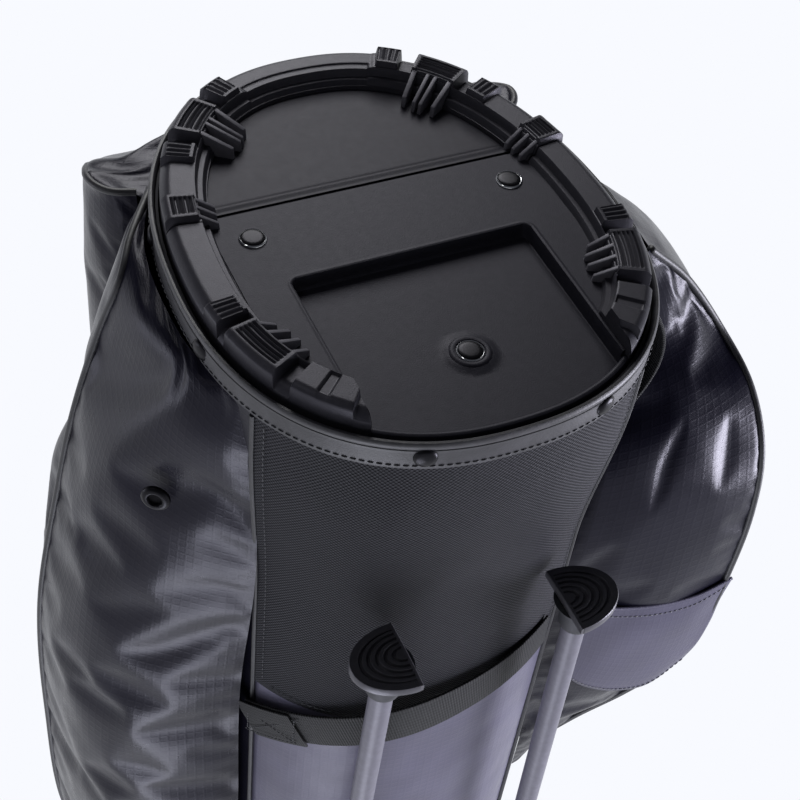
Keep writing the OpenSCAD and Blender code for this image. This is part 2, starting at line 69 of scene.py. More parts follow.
# ---------------------------------------------------------------- camera, floor and light
def camera_and_stage():
    right = Vector((-0.90662, -0.41272, -0.08776))
    down = Vector((0.25167, -0.69586, 0.67263))
    forward = Vector((-0.33868, 0.58774, 0.73475))
    place = Vector((0.28928, -0.53241, -0.51275 + LIFT * MM))
    turn = Matrix((right, -down, -forward)).transposed().to_4x4()
    cam_data = bpy.data.cameras.new("camera")
    cam_data.lens, cam_data.sensor_width = 67.5, 36
    cam = bpy.data.objects.new("camera", cam_data)
    cam.matrix_world = Matrix.Translation(place) @ turn
    bpy.context.scene.collection.objects.link(cam)
    bpy.context.scene.camera = cam

    target = Vector((0.0, -0.04, 0.14))
    def softbox(name, along_right, along_up, back, size, watts, tint=(1, 1, 1)):
        data = bpy.data.lights.new(name, "AREA")
        data.shape, data.size, data.energy, data.color = "DISK", size, watts, tint
        ob = bpy.data.objects.new(name, data)
        ob.location = target + right * along_right - down * along_up - forward * back
        ob.rotation_euler = (target - ob.location).to_track_quat("-Z", "Y").to_euler()
        bpy.context.scene.collection.objects.link(ob)
        ob.visible_camera = False

    bpy.context.scene.view_settings.view_transform = "Standard"
    softbox("top_box", -0.1, 1.4, 0.0, 0.8, 13)
    softbox("front_box", -0.9, 0.6, 1.5, 0.35, 2)
    softbox("left_box", -1.5, 0.0, 0.1, 0.6, 3, (0.86, 0.88, 1))
    softbox("right_box", 1.5, -0.4, -0.2, 0.7, 36, (0.88, 0.87, 1))
    softbox("low_box", -0.3, -1.5, -0.1, 0.8, 10, (0.86, 0.88, 1))

    sky = bpy.data.worlds.new("sky")
    bpy.context.scene.world = sky
    sky.use_nodes = True
    nt = sky.node_tree
    coord = nt.nodes.new("ShaderNodeTexCoord")
    split = nt.nodes.new("ShaderNodeSeparateXYZ")
    ramp = nt.nodes.new("ShaderNodeValToRGB")
    ramp.color_ramp.elements[0].position = 0.36
    ramp.color_ramp.elements[0].color = (0.05, 0.052, 0.06, 1)
    ramp.color_ramp.elements[1].position = 0.49
    ramp.color_ramp.elements[1].color = (0.94, 0.955, 1.0, 1)
    scale = nt.nodes.new("ShaderNodeMapRange")
    scale.inputs["From Min"].default_value = -1
    nt.links.new(coord.outputs["Generated"], split.inputs[0])
    nt.links.new(split.outputs["Z"], scale.inputs["Value"])
    nt.links.new(scale.outputs[0], ramp.inputs[0])
    nt.links.new(ramp.outputs[0], nt.nodes["Background"].inputs["Color"])
    nt.nodes["Background"].inputs["Strength"].default_value = 1.0

    mesh = bpy.data.meshes.new("floor")
    reach_m = 6.0
    mesh.from_pydata([(-reach_m, -reach_m, 0), (reach_m, -reach_m, 0), (reach_m, reach_m, 0),
                      (-reach_m, reach_m, 0)], [], [(0, 1, 2, 3)])
    floor = bpy.data.objects.new("floor", mesh)
    bpy.context.scene.collection.objects.link(floor)
    mat = bpy.data.materials.new("floor")
    mat.use_nodes = True
    nt = mat.node_tree
    shader = nt.nodes["Principled BSDF"]
    shader.inputs["Base Color"].default_value = (0.8, 0.8, 0.82, 1)
    shader.inputs["Roughness"].default_value = 0.7
    geo = nt.nodes.new("ShaderNodeNewGeometry")
    clear = nt.nodes.new("ShaderNodeBsdfTransparent")
    mix = nt.nodes.new("ShaderNodeMixShader")
    nt.links.new(geo.outputs["Backfacing"], mix.inputs[0])
    nt.links.new(shader.outputs[0], mix.inputs[1])
    nt.links.new(clear.outputs[0], mix.inputs[2])
    nt.links.new(mix.outputs[0], nt.nodes["Material Output"].inputs["Surface"])
    mesh.materials.append(mat)
    floor.visible_shadow = False
    floor.visible_diffuse = False
    floor.visible_glossy = False


# ---------------------------------------------------------------- materials
class Mat:
    """A principled material with procedural colour, roughness and bump."""

    def __init__(self, name, colour, rough, **sockets):
        self.mat = bpy.data.materials.new(name)
        self.mat.use_nodes = True
        self.nt = self.mat.node_tree
        self.shader = self.nt.nodes["Principled BSDF"]
        self.colour, self.rough = colour, rough
        self.set("Base Color", (*colour, 1))
        self.set("Roughness", rough)
        self.set("Specular IOR Level", 0.4)
        for key, value in sockets.items():
            self.set(key.replace("_", " "), value)
        self.height = None
        self.coords = self.nt.nodes.new("ShaderNodeTexCoord")

    def set(self, key, value):
        self.shader.inputs[key].default_value = value

    def node(self, kind, **values):
        n = self.nt.nodes.new(kind)
        for key, value in values.items():
            setattr(n, key, value)
        return n

    def link(self, a, b):
        self.nt.links.new(a, b)

    def math(self, op, a, b=None):
        n = self.node("ShaderNodeMath", operation=op)
        for i, v in enumerate((a, b)):
            if v is None:
                continue
            if isinstance(v, (int, float)):
                n.inputs[i].default_value = v
            else:
                self.link(v, n.inputs[i])
        return n.outputs[0]

    def texture(self, kind, output, **values):
        n = self.node(kind)
        for key, value in values.items():
            n.inputs[key].default_value = value
        self.link(self.coords.outputs["Object"], n.inputs["Vector"])
        return n.outputs[output]

    def noise(self, scale, detail=3.0, rough=0.5):
        return self.texture("ShaderNodeTexNoise", "Fac", Scale=scale, Detail=detail, Roughness=rough)

    def cells(self, scale):
        return self.texture("ShaderNodeTexVoronoi", "Distance", Scale=scale)

    def remap(self, value, low, high, to_low=0.0, to_high=1.0):
        """Map low to high onto to_low to to_high, held at both ends."""
        n = self.node("ShaderNodeMapRange")
        for key, at in (("From Min", low), ("From Max", high), ("To Min", to_low), ("To Max", to_high)):
            n.inputs[key].default_value = at
        self.link(value, n.inputs["Value"])
        return n.outputs[0]

    def uv(self):
        split = self.node("ShaderNodeSeparateXYZ")
        self.link(self.coords.outputs["UV"], split.inputs[0])
        return split.outputs[0], split.outputs[1]

    def wave(self, coord, period_mm):
        return self.math("SINE", self.math("MULTIPLY", coord, 2 * math.pi / (period_mm * MM)))

    def lines(self, coord, period_mm, width_mm):
        """1 on thin lines a period apart, 0 between them."""
        part = self.math("FRACT", self.math("MULTIPLY", coord, 1 / (period_mm * MM)))
        away = self.math("ABSOLUTE", self.math("SUBTRACT", part, 0.5))
        return self.remap(away, 0.5 - width_mm / period_mm, 0.5 - 0.4 * width_mm / period_mm)

    def bump(self, height, depth_mm, strength=1.0):
        n = self.node("ShaderNodeBump")
        n.inputs["Strength"].default_value = strength
        n.inputs["Distance"].default_value = depth_mm * MM
        self.link(height, n.inputs["Height"])
        if self.height is not None:
            self.link(self.height, n.inputs["Normal"])
        self.height = n.outputs[0]
        self.link(self.height, self.shader.inputs["Normal"])
        return self

    def vary(self, factor, other, low=0.35, high=0.65):
        """Mix the base colour towards another where the factor is high."""
        mix = self.node("ShaderNodeMix", data_type="RGBA")
        mix.inputs[6].default_value = (*self.colour, 1)
        mix.inputs[7].default_value = (*other, 1)
        self.link(self.remap(factor, low, high), mix.inputs[0])
        self.link(mix.outputs[2], self.shader.inputs["Base Color"])
        return self

    def vary_rough(self, factor, low, high):
        self.link(self.remap(factor, 0.3, 0.7, low, high), self.shader.inputs["Roughness"])
        return self


COOL = (0.88, 0.86, 1.0, 1)        # the cast of the highlights on dark surfaces


def moulded(name, colour, rough, grain=0.05, size=1400, shine=0.17):
    m = Mat(name, colour, rough, Specular_IOR_Level=shine, Specular_Tint=COOL)
    lighter = tuple(c * 1.2 + 0.001 for c in colour)
    m.vary(m.noise(260, 4), lighter, 0.4, 0.75)
    m.vary_rough(m.noise(240, 3), rough - 0.012, rough + 0.015)
    m.bump(m.noise(size, 2, 0.6), grain)
    return m.mat


def coated_cloth(name, colour, rough, grid=5.2, grid_depth=0.05):
    m = Mat(name, colour, rough, Specular_IOR_Level=0.16, Specular_Tint=COOL,
            Coat_Weight=0.04, Coat_Roughness=0.22)
    u, v = m.uv()
    net = m.math("MAXIMUM", m.lines(u, grid, 0.9), m.lines(v, grid, 0.9))
    weave = m.math("MULTIPLY", m.wave(u, 0.9), m.wave(v, 0.9))
    lighter = tuple(c * 1.3 + 0.001 for c in colour)
    m.vary(m.noise(30, 4), lighter, 0.35, 0.8)
    m.vary_rough(m.noise(60, 4), rough - 0.04, rough + 0.05)
    m.bump(m.noise(26, 3, 0.5), 0.5, 0.2)
    m.bump(weave, 0.02, 0.5)
    m.bump(net, grid_depth, 0.7)
    return m.mat


def ballistic(name, colour, rough, pitch=2.5):
    m = Mat(name, colour, rough, Specular_IOR_Level=0.13, Specular_Tint=COOL)
    u, v = m.uv()
    over = m.math("MULTIPLY", m.wave(u, pitch), m.wave(v, pitch))
    fibres = m.wave(u, pitch / 5)
    m.vary(over, tuple(c * 4.5 + 0.006 for c in colour), -0.1, 0.8)
    m.bump(over, 0.32, 1.0)
    m.bump(fibres, 0.02, 0.4)
    return m.mat


def webbing(name, colour):
    m = Mat(name, colour, 0.62, Specular_IOR_Level=0.2)
    u, v = m.uv()
    ribs = m.wave(u, 1.7)
    m.vary(ribs, tuple(c * 2.2 + 0.006 for c in colour), -0.2, 1.0)
    m.bump(ribs, 0.25, 0.8)
    m.bump(m.wave(v, 3.2), 0.08, 0.5)
    return m.mat


def leather(name, colour):
    m = Mat(name, colour, 0.5, Coat_Weight=0.1, Coat_Roughness=0.4)
    m.vary(m.noise(120, 4), tuple(c * 1.8 + 0.004 for c in colour), 0.35, 0.8)
    m.bump(m.cells(900), 0.12, 0.5)
    m.bump(m.noise(200, 3), 0.15, 0.3)
    return m.mat


def metal(name, colour, rough, scratch=300):
    m = Mat(name, colour, rough, Metallic=1.0)
    m.vary_rough(m.noise(scratch, 4), rough - 0.05, rough + 0.1)
    m.bump(m.noise(scratch * 3, 2), 0.01, 0.3)
    return m.mat


def make_materials():
    return {
        "base": moulded("base_grain", (0.013, 0.0128, 0.018), 0.5, 0.09, 1300),
        "smooth": moulded("base_smooth", (0.010, 0.0098, 0.014), 0.46, 0.03, 1800, 0.13),
        "rim": moulded("rim_plastic", (0.022, 0.0215, 0.027), 0.4, 0.08, 1200, 0.2),
        "fin": moulded("fin_plastic", (0.085, 0.083, 0.096), 0.45, 0.08, 1200, 0.3),
        "cuff": moulded("cuff_plastic", (0.016, 0.0158, 0.020), 0.48, 0.06, 900),
        "rubber": moulded("foot_rubber", (0.05, 0.049, 0.056), 0.36, 0.05, 700, 0.45),
        "coated": coated_cloth("coated_ripstop", (0.004, 0.0038, 0.0095), 0.3),
        "hood": coated_cloth("hood_ripstop", (0.06, 0.057, 0.085), 0.36),
        "panel": coated_cloth("panel_ripstop", (0.085, 0.081, 0.118), 0.36, 5.2, 0.06),
        "skin": coated_cloth("skin_ripstop", (0.005, 0.0048, 0.010), 0.36),
        "boot": ballistic("ballistic_nylon", (0.006, 0.0062, 0.0075), 0.55),
        "lining": ballistic("lining_cloth", (0.02, 0.02, 0.022), 0.7, 1.4),
        "divider": ballistic("divider_cloth", (0.03, 0.03, 0.034), 0.75, 1.2),
        "trim": leather("trim_leather", (0.020, 0.0196, 0.024)),
        "piping": leather("piping", (0.010, 0.010, 0.013)),
        "webbing": webbing("webbing", (0.009, 0.0092, 0.010)),
        "thread": Mat("thread", (0.045, 0.046, 0.052), 0.55).mat,
        "leg": moulded("leg_coat", (0.115, 0.112, 0.138), 0.4, 0.03, 1500, 0.3),
        "gloss": moulded("rivet_gloss", (0.004, 0.004, 0.005), 0.3, 0.005, 800, 0.12),
        "leg_socket": moulded("leg_socket", (0.035, 0.036, 0.04), 0.5, 0.05, 900),
        "rod": moulded("rod_fibre", (0.05, 0.05, 0.052), 0.4, 0.02, 900),
        # near-black matte disc in the eyelet: painted shade standing in for the dark inside behind the hole
        "hole_shade_disc": moulded("eyelet_hole_shade", (0.002, 0.002, 0.002), 0.9, 0.02, 900),
        "chrome": metal("chrome", (0.75, 0.76, 0.78), 0.12),
        "steel": metal("steel", (0.5, 0.5, 0.52), 0.3),
        "zip": moulded("zip_resin", (0.016, 0.016, 0.018), 0.35, 0.02, 1200),
        "foam": coated_cloth("strap_cloth", (0.016, 0.0165, 0.02), 0.5, 3.4, 0.08),
    }


# ---------------------------------------------------------------- shapes
def smooth(x):
    x = np.clip(x, 0, 1)
    return x * x * (3 - 2 * x)


def reach(hw, hd, deg):
    """Distance from the middle to the oval in a direction."""
    c, s = np.cos(np.radians(deg)), np.sin(np.radians(deg))
    y = np.zeros_like(c + hw)
    for _ in range(5):
        r = ((abs(c) / (hw * (1 - EGG * y / hd))) ** SQUARE + (abs(s) / hd) ** SQUARE) ** (-1 / SQUARE)
        y = r * s
    return r


def wall(deg, z, off=SKIN):
    """Points on the tube, by direction, height and distance out from its inner face."""
    deg, z = np.broadcast_arrays(np.asarray(deg, float), np.asarray(z, float))
    f = smooth((z - TAPER_Z[0]) / (TAPER_Z[1] - TAPER_Z[0]))
    r = reach(SKIRT[0] + off + (WAIST[0] - SKIRT[0]) * f, SKIRT[1] + off + (WAIST[1] - SKIRT[1]) * f, deg)
    return np.stack([r * np.cos(np.radians(deg)), r * np.sin(np.radians(deg)), z + 0 * r], -1)


def edge(deg, inset, z):
    """Points on the base moulding, by direction, distance in from its outline and height."""
    deg = np.asarray(deg, float)
    def at(d):
        r = reach(BASE_HW, BASE_HD, d)
        return np.stack([r * np.cos(np.radians(d)), r * np.sin(np.radians(d))], -1)
    along = at(deg + 0.2) - at(deg - 0.2)
    out = np.stack([along[..., 1], -along[..., 0]], -1)
    out /= np.linalg.norm(out, axis=-1, keepdims=True)
    xy = at(deg) - out * np.asarray(inset)[..., None]
    return np.concatenate([xy, np.broadcast_to(np.asarray(z, float), xy.shape[:-1])[..., None]], -1)


def unit(v):
    return v / np.maximum(np.linalg.norm(v, axis=-1, keepdims=True), 1e-9)


def curve(points, count):
    """A smooth curve through points, as count points."""
    p = np.asarray(points, float)
    if len(p) == 2:
        return p[0] + (p[1] - p[0]) * np.linspace(0, 1, count)[:, None]
    gap = np.maximum(np.linalg.norm(np.diff(p, axis=0), axis=-1), 1e-6)
    t = np.concatenate([[0], np.cumsum(gap ** 0.5)])
    slope = np.zeros_like(p)
    slope[1:-1] = (p[2:] - p[:-2]) / (t[2:] - t[:-2])[:, None]
    slope[0] = (p[1] - p[0]) / (t[1] - t[0])
    slope[-1] = (p[-1] - p[-2]) / (t[-1] - t[-2])
    x = np.linspace(0, t[-1], count)
    i = np.clip(np.searchsorted(t, x, "right") - 1, 0, len(p) - 2)
    h = (t[i + 1] - t[i])[:, None]
    s = ((x - t[i])[:, None]) / h
    return ((2 * s**3 - 3 * s**2 + 1) * p[i] + (s**3 - 2 * s**2 + s) * h * slope[i]
            + (3 * s**2 - 2 * s**3) * p[i + 1] + (s**3 - s**2) * h * slope[i + 1])


def lengths(path):
    """Distance along a path to each of its points."""
    return np.concatenate([[0], np.cumsum(np.linalg.norm(np.diff(path, axis=0), axis=-1))])


def at_lengths(x, s, path):
    return np.stack([np.interp(x, s, path[:, k]) for k in range(3)], -1)


def spread(path, count):
    """The path as count points, evenly apart."""
    s = lengths(path)
    return at_lengths(np.linspace(0, s[-1], count), s, path)


def resample(path, step):
    return spread(path, max(3, int(lengths(path)[-1] / step) + 1))


def link(name, mesh, mat, sharp=None):
    ob = bpy.data.objects.new(name, mesh)
    bpy.context.scene.collection.objects.link(ob)
    mesh.materials.append(mat)
    mesh.shade_smooth()
    if sharp:
        mesh.set_sharp_from_angle(angle=math.radians(sharp))
    return ob


def solid(name, verts, faces, mat, sharp=35):
    mesh = bpy.data.meshes.new(name)
    mesh.from_pydata(((np.asarray(verts, float) + [0, 0, LIFT]) * MM).tolist(), [], faces)
    mesh.validate()
    return link(name, mesh, mat, sharp)


def grid(name, p, mat, around=False, ring=False, caps=False, sharp=None):
    """A sheet of quads over p[i, j]; around joins the last row to the first, ring the columns."""
    n, m = p.shape[:2]
    step_u = np.linalg.norm(np.roll(p, -1, 0) - p, axis=-1).mean(1)
    step_v = np.linalg.norm(np.roll(p, -1, 1) - p, axis=-1).mean(0)
    u = np.concatenate([[0], np.cumsum(step_u)]) * MM
    v = np.concatenate([[0], np.cumsum(step_v)]) * MM
    faces, uvs = [], []
    for i in range(n if around else n - 1):
        for j in range(m if ring else m - 1):
            i2, j2 = (i + 1) % n, (j + 1) % m
            faces.append((i * m + j, i2 * m + j, i2 * m + j2, i * m + j2))
            uvs += [(u[i], v[j]), (u[i + 1], v[j]), (u[i + 1], v[j + 1]), (u[i], v[j + 1])]
    if caps:
        faces += [tuple(range(m)), tuple((n - 1) * m + j for j in reversed(range(m)))]
        uvs += [(0, 0)] * (2 * m)
    mesh = bpy.data.meshes.new(name)
    mesh.from_pydata(((p.reshape(-1, 3) + [0, 0, LIFT]) * MM).tolist(), [], faces)
    layer = mesh.uv_layers.new(name="UVMap")
    layer.data.foreach_set("uv", np.asarray(uvs, float).ravel())
    return link(name, mesh, mat, sharp)


def outward(ob):
    """Turn the faces so that they look away from the inside of a closed piece."""
    bm = bmesh.new()
    bm.from_mesh(ob.data)
    bmesh.ops.recalc_face_normals(bm, faces=bm.faces)
    bm.to_mesh(ob.data)
    bm.free()
    return ob


def circle(radius, count=12):
    a = np.linspace(0, 2 * math.pi, count, endpoint=False)
    return np.stack([radius * np.cos(a), radius * np.sin(a)], -1)


def bar(thick, wide, radius=0.5, count=3):
    """A strap's section: thick along the normal, wide across, with rounded edges."""
    pts = []
    for cx, cy, a0 in ((1, 1, 0), (-1, 1, 90), (-1, -1, 180), (1, -1, 270)):
        for k in range(count + 1):
            a = math.radians(a0 + 90 * k / count)
            pts.append((cx * (thick / 2 - radius) + radius * math.cos(a),
                        cy * (wide / 2 - radius) + radius * math.sin(a)))
    return np.asarray(pts)


def sweep(name, path, normals, section, mat, closed=False, sharp=None):
    """Carry a section along a path. Section points are (along the normal, across)."""
    path = np.asarray(path, float)
    if closed:
        tangent = unit(np.roll(path, -1, 0) - np.roll(path, 1, 0))
    else:
        tangent = unit(np.gradient(path, axis=0))
    normals = np.broadcast_to(np.asarray(normals, float), path.shape)
    normals = unit(normals - (normals * tangent).sum(-1, keepdims=True) * tangent)
    across = np.cross(tangent, normals)
    section = np.asarray(section, float)
    if section.ndim == 2:
        section = np.broadcast_to(section, (len(path), *section.shape))
    p = path[:, None] + normals[:, None] * section[..., :1] + across[:, None] * section[..., 1:]
    ob = grid(name, p, mat, around=closed, ring=True, caps=not closed, sharp=sharp)
    return outward(ob)


def free_normals(path):
    """Normals that turn as little as they can along a path."""
    t = unit(np.gradient(path, axis=0))
    n = [unit(np.cross(t[0], [0.3, 0.2, 1.0]))]
    for i in range(1, len(path)):
        v = n[-1] - t[i] * np.dot(n[-1], t[i])
        n.append(unit(v))
    return np.asarray(n)


def tube(name, path, radius, mat, sides=10, closed=False):
    return sweep(name, path, free_normals(np.asarray(path, float)), circle(radius, sides), mat, closed)


def lathe(name, profile, at, axis, mat, count=48, sharp=40):
    """Turn (radius, height) points round an axis through a point."""
    axis = Vector(axis).normalized()
    turn = axis.to_track_quat("Z", "Y").to_matrix()
    a = np.linspace(0, 2 * math.pi, count, endpoint=False)
    prof = np.asarray(profile, float)
    p = np.stack([prof[None, :, 0] * np.cos(a)[:, None], prof[None, :, 0] * np.sin(a)[:, None],
                  np.broadcast_to(prof[None, :, 1], (count, len(prof)))], -1)
    p = p @ np.asarray(turn).T + np.asarray(at, float)
    return outward(grid(name, p, mat, around=True, sharp=sharp))


# the faces of a six-sided piece whose corners are listed as in box()
HEX = ((0, 1, 3, 2), (4, 6, 7, 5), (0, 2, 6, 4), (1, 5, 7, 3), (2, 3, 7, 6), (0, 4, 5, 1))


def box(name, low, high, mat):
    corners = [(x, y, z) for x in (low[0], high[0]) for y in (low[1], high[1]) for z in (low[2], high[2])]
    return outward(solid(name, corners, HEX, mat))


def bevel(ob, width, segments=2, angle=35):
    mod = ob.modifiers.new("bevel", "BEVEL")
    mod.width, mod.segments, mod.limit_method = width * MM, segments, "ANGLE"
    mod.angle_limit = math.radians(angle)
    mod.harden_normals = False
    return ob


def subdivide(ob, levels=1):
    mod = ob.modifiers.new("subdivision", "SUBSURF")
    mod.levels = mod.render_levels = levels
    return ob


def join(name, objects):
    """One object under the given name from several; modifiers are applied first."""
    depsgraph = bpy.context.evaluated_depsgraph_get()
    verts, faces, uvs, mats, slots = [], [], [], [], []
    for ob in objects:
        ev = ob.evaluated_get(depsgraph)
        me = ev.to_mesh()
        base = len(verts)
        verts += [tuple(v.co) for v in me.vertices]
        layer = me.uv_layers.active
        for poly in me.polygons:
            faces.append(tuple(base + k for k in poly.vertices))
            uvs += [tuple(layer.data[k].uv) if layer else (0.0, 0.0) for k in poly.loop_indices]
            mat = ob.data.materials[poly.material_index]
            if mat not in mats:
                mats.append(mat)
            slots.append(mats.index(mat))
        ev.to_mesh_clear()
    mesh = bpy.data.meshes.new(name)
    mesh.from_pydata(verts, [], faces)
    layer = mesh.uv_layers.new(name="UVMap")
    layer.data.foreach_set("uv", np.asarray(uvs, float).ravel())
    for mat in mats:
        mesh.materials.append(mat)
    mesh.polygons.foreach_set("material_index", slots)
    for ob in objects:
        bpy.data.objects.remove(ob)
    new = bpy.data.objects.new(name, mesh)
    bpy.context.scene.collection.objects.link(new)
    mesh.shade_smooth()
    mesh.set_sharp_from_angle(angle=math.radians(38))
    return new


# one stitch, from end to end: where, how thick, and how far out
THREAD_SHAPE = ((0, 0.45, -0.3), (0.18, 0.95, 0.15), (0.5, 1, 0.3), (0.82, 0.95, 0.15), (1, 0.45, -0.3))


def stitches(name, path, normals, pitch=4.0, length=2.7, radius=0.4, lift=0.15):
    """A row of thread stitches along a path."""
    path = np.asarray(path, float)
    gap = lengths(path)
    normals = np.broadcast_to(np.asarray(normals, float), path.shape)
    starts = np.arange(0, gap[-1] - length, pitch)
    verts, faces = [], []
    ring = circle(radius, 5)
    for s in starts:
        a, b = at_lengths(s, gap, path), at_lengths(s + length, gap, path)
        n = unit(at_lengths(s + length / 2, gap, normals))
        t = unit(b - a)
        c = np.cross(t, n)
        base = len(verts)
        for f, size, up in THREAD_SHAPE:
            mid = a + (b - a) * f + n * (lift + up * radius)
            verts += [mid + size * (n * q[0] + c * q[1]) for q in ring]
        for i in range(4):
            for k in range(5):
                k2 = (k + 1) % 5
                row, above = base + i * 5, base + (i + 1) * 5
                faces.append((row + k, row + k2, above + k2, above + k))
        faces += [tuple(base + k for k in range(5)), tuple(base + 20 + k for k in reversed(range(5)))]
    return outward(solid(name, verts, faces, MATS["thread"], None))


def place(ob, body="bag", slot=None, *nodes):
    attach(ob, body)
    if nodes:
        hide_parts(*nodes)
    return ob


# ---------------------------------------------------------------- base moulding
# directions of the blocks, each with its pattern, and of the notches between them
REAR_BLOCKS = ((37.0, 43.0, "ridges"), (47.0, 60.0, "ribs"), (64.0, 70.0, "ridges"))
HINGE_BLOCKS = ((13.5, 22.6, "ribs"),)
FRONT_BLOCKS = ((-23.0, -17.0, "ridges"), (-41.0, -26.0, "ribs"), (-58.0, -45.0, "wide"))
NOTCHES = ((43.0, 47.0), (60.0, 64.0), (-26.0, -23.0), (-45.0, -41.0))
RIM_Z, LEDGE_Z, NOTCH_Z, REAR_Z, TREAD_Z = -1.6, 3.6, 1.6, -1.0, -5.0
TIP_X = 70.0


def band(x, low, high, soft):
    return smooth((x - low) / soft + 0.5) * smooth((high - x) / soft + 0.5)


def rim_top(deg, inset):
    """Height of the rim's face, by direction and distance in from the outline."""
    a = np.abs((deg - 90) % 360 - 180)
    a = 90 - (180 - a)
    z = RIM_Z + (REAR_Z - RIM_Z) * band(a, 71, 200, 1.0)
    for low, high in NOTCHES:
        z = z + (NOTCH_Z - z) * band(a, low, high, 0.5) * band(inset, -9, 17.8, 0.8)
    for low, high, kind in REAR_BLOCKS + HINGE_BLOCKS + FRONT_BLOCKS:
        mask = band(a, low, high, 0.45)
        face = np.full_like(z, TREAD_Z)
        mid = (low + high) / 2
        if kind == "ribs":
            inner = band(a, low + 1.4, high - 1.4, 0.6) * band(inset, 4.6, 17.2, 0.7)
            ribs = 0.5 - 0.5 * np.cos((inset - 4.8) * 2 * math.pi / 2.5)
            face = face + inner * 1.5 * (1 - ribs)
        if kind == "ridges":
            inner = band(inset, 3.0, 15.0, 0.8)
            ridges = 0.5 - 0.5 * np.cos((a - mid + 2.4) * 2 * math.pi / 1.6)
            face = face + inner * 1.1 * (1 - ridges)
        if kind == "wide":
            inner = band(a, mid - 1.2, mid + 1.2, 0.6) * band(inset, 3.0, 17, 0.8)
            face = face + inner * 1.4
        reach_in = 18.4 if kind == "wide" else 17.6
        z = z + (face - z) * mask * smooth((reach_in + 0.6 - inset) / 1.2)
    ledge = smooth((inset - 18.8) / 1.2)
    z = z + (np.maximum(z, LEDGE_Z) - z) * ledge
    step = band(a, 72, 200, 1.0) * smooth((inset - 14.0) / 1.0)
    z = z + 1.1 * step
    return z + (FLOOR_FRONT + 0.6 - z) * smooth((inset - 22.6) / 2.2)


def rim_half(name, low, high, mat, clamp):
    """One half of the rim: a closed section carried round between two directions."""
    degs = np.arange(low, high, 0.22)
    insets = np.concatenate([[0.0, 0.25, 0.9, 1.7, 2.6], np.arange(3.2, 18.4, 0.55),
                             np.arange(18.6, 25.2, 0.5)])
    a = degs[:, None]
    d = np.broadcast_to(insets, (len(degs), len(insets)))
    z = rim_top(a + 0 * d, d)
    raised = smooth((RIM_Z - 1.0 - z[:, 8:9]) / 1.2)
    z = z + (5.0 * (1 - raised) + 2.6 * raised) * np.clip(1 - d / (6.5 - 2.5 * raised), 0, 1) ** 2.2
    top = edge(degs[:, None] + 0 * d, d, z)
    outer = [edge(degs, 0.2, 23.0), edge(degs, -0.1, z[:, 0] + 1.2)]
    inner = [edge(degs, 25.4, 10.5), edge(degs, 14.0, 12.0)]
    p = np.concatenate([np.stack(outer, 1), top, np.stack(inner, 1)], 1)
    if clamp:
        side = np.sign(p[:, :1, 0])
        p[..., 0] = np.where(np.abs(p[..., 0]) < TIP_X, side * TIP_X, p[..., 0])
    ob = grid(name, p, mat, ring=True, caps=True)
    return outward(ob)


def fin(name, deg, inset, length, width, z0, z1, mat):
    """A prong that slopes from the rim down to the plate, pointing inwards."""
    out = edge(np.array([deg]), np.array([inset]), z0)[0]
    inn = edge(np.array([deg]), np.array([inset + length]), z1)[0]
    along = unit((inn - out) * [1, 1, 0])
    side = np.array([-along[1], along[0], 0]) * width / 2
    floor = FLOOR_FRONT + 4
    verts = []
    for q, w in ((out, 1.0), (inn, 0.85)):
        verts += [q + side * w, q - side * w]
    low_out, low_in = out.copy(), inn + along * 0.8
    low_out[2] = low_in[2] = floor
    for q, w in ((low_out, 1.1), (low_in, 0.9)):
        verts += [q + side * w, q - side * w]
    return bevel(outward(solid(name, verts, HEX, mat)), 0.4, 2)


def prongs(side):
    """The three groups of prongs on one side: those on the rear rim, and those on the front rim."""
    mat = MATS["fin"]
    def at(deg):
        return deg if side > 0 else 180 - deg
    rear, front = [], []
    rear_prongs = ((48.4, 19, 3.0), (52.6, 21, 2.4), (54.9, 21, 2.4), (58.9, 19, 3.0))
    for k, (deg, length, width) in enumerate(rear_prongs):
        rear.append(fin(f"fin_r{k}", at(deg), 16.5, length, width, -4.0, 3.4, mat))
    for k, deg in enumerate((14.6, 18.2, 21.4)):
        front.append(fin(f"fin_h{k}", at(deg), 17, 11, 2.6, -3.4, 3.6, mat))
    for k, (deg, length) in enumerate(((-39.4, 12), (-35.2, 14), (-31.2, 14), (-27.4, 11))):
        front.append(fin(f"fin_f{k}", at(deg), 17, length, 2.6, -3.8, 3.6, mat))
    return rear, front


def build_rims():
    rim = MATS["rim"]
    pin = math.degrees(math.atan2(24, BASE_HW - 8)) + 0.25
    tip = -61.8
    rear_l, front_l = prongs(1)
    rear_r, front_r = prongs(-1)
    rear = rim_half("rim_rear", pin + 0.35, 180 - pin - 0.35, rim, False)
    left = rim_half("rim_l", tip, pin, rim, True)
    right = rim_half("rim_r", 180 - pin, 180 - tip, rim, True)
    rear = join("rear_rim_moulding", [rear, *rear_l, *rear_r])
    place(rear, "bag", "moulded_black", "rear_rim", "grip_rear_left", "grip_rear_right",
          "grip_hinge_left", "grip_hinge_right")
    front = join("front_rim_moulding", [left, right, *front_l, *front_r])
    place(front, "plate", "moulded_black", "front_rim", "grip_front_left", "grip_front_right")


def inset_of(x, y):
    """Distance in from the base outline at a point, near enough."""
    def level(x, y):
        hw = BASE_HW * (1 - EGG * y / BASE_HD)
        return (np.abs(x / hw) ** SQUARE + np.abs(y / BASE_HD) ** SQUARE) ** (1 / SQUARE)
    h = 0.5
    f = level(x, y)
    gx = (level(x + h, y) - level(x - h, y)) / (2 * h)
    gy = (level(x, y + h) - level(x, y - h)) / (2 * h)
    return (1 - f) / np.maximum(np.hypot(gx, gy), 1e-4)


RECESS = {"half": 68.5, "rear": -23.0, "corner": 4.5}
SLIT_Y = 34.5


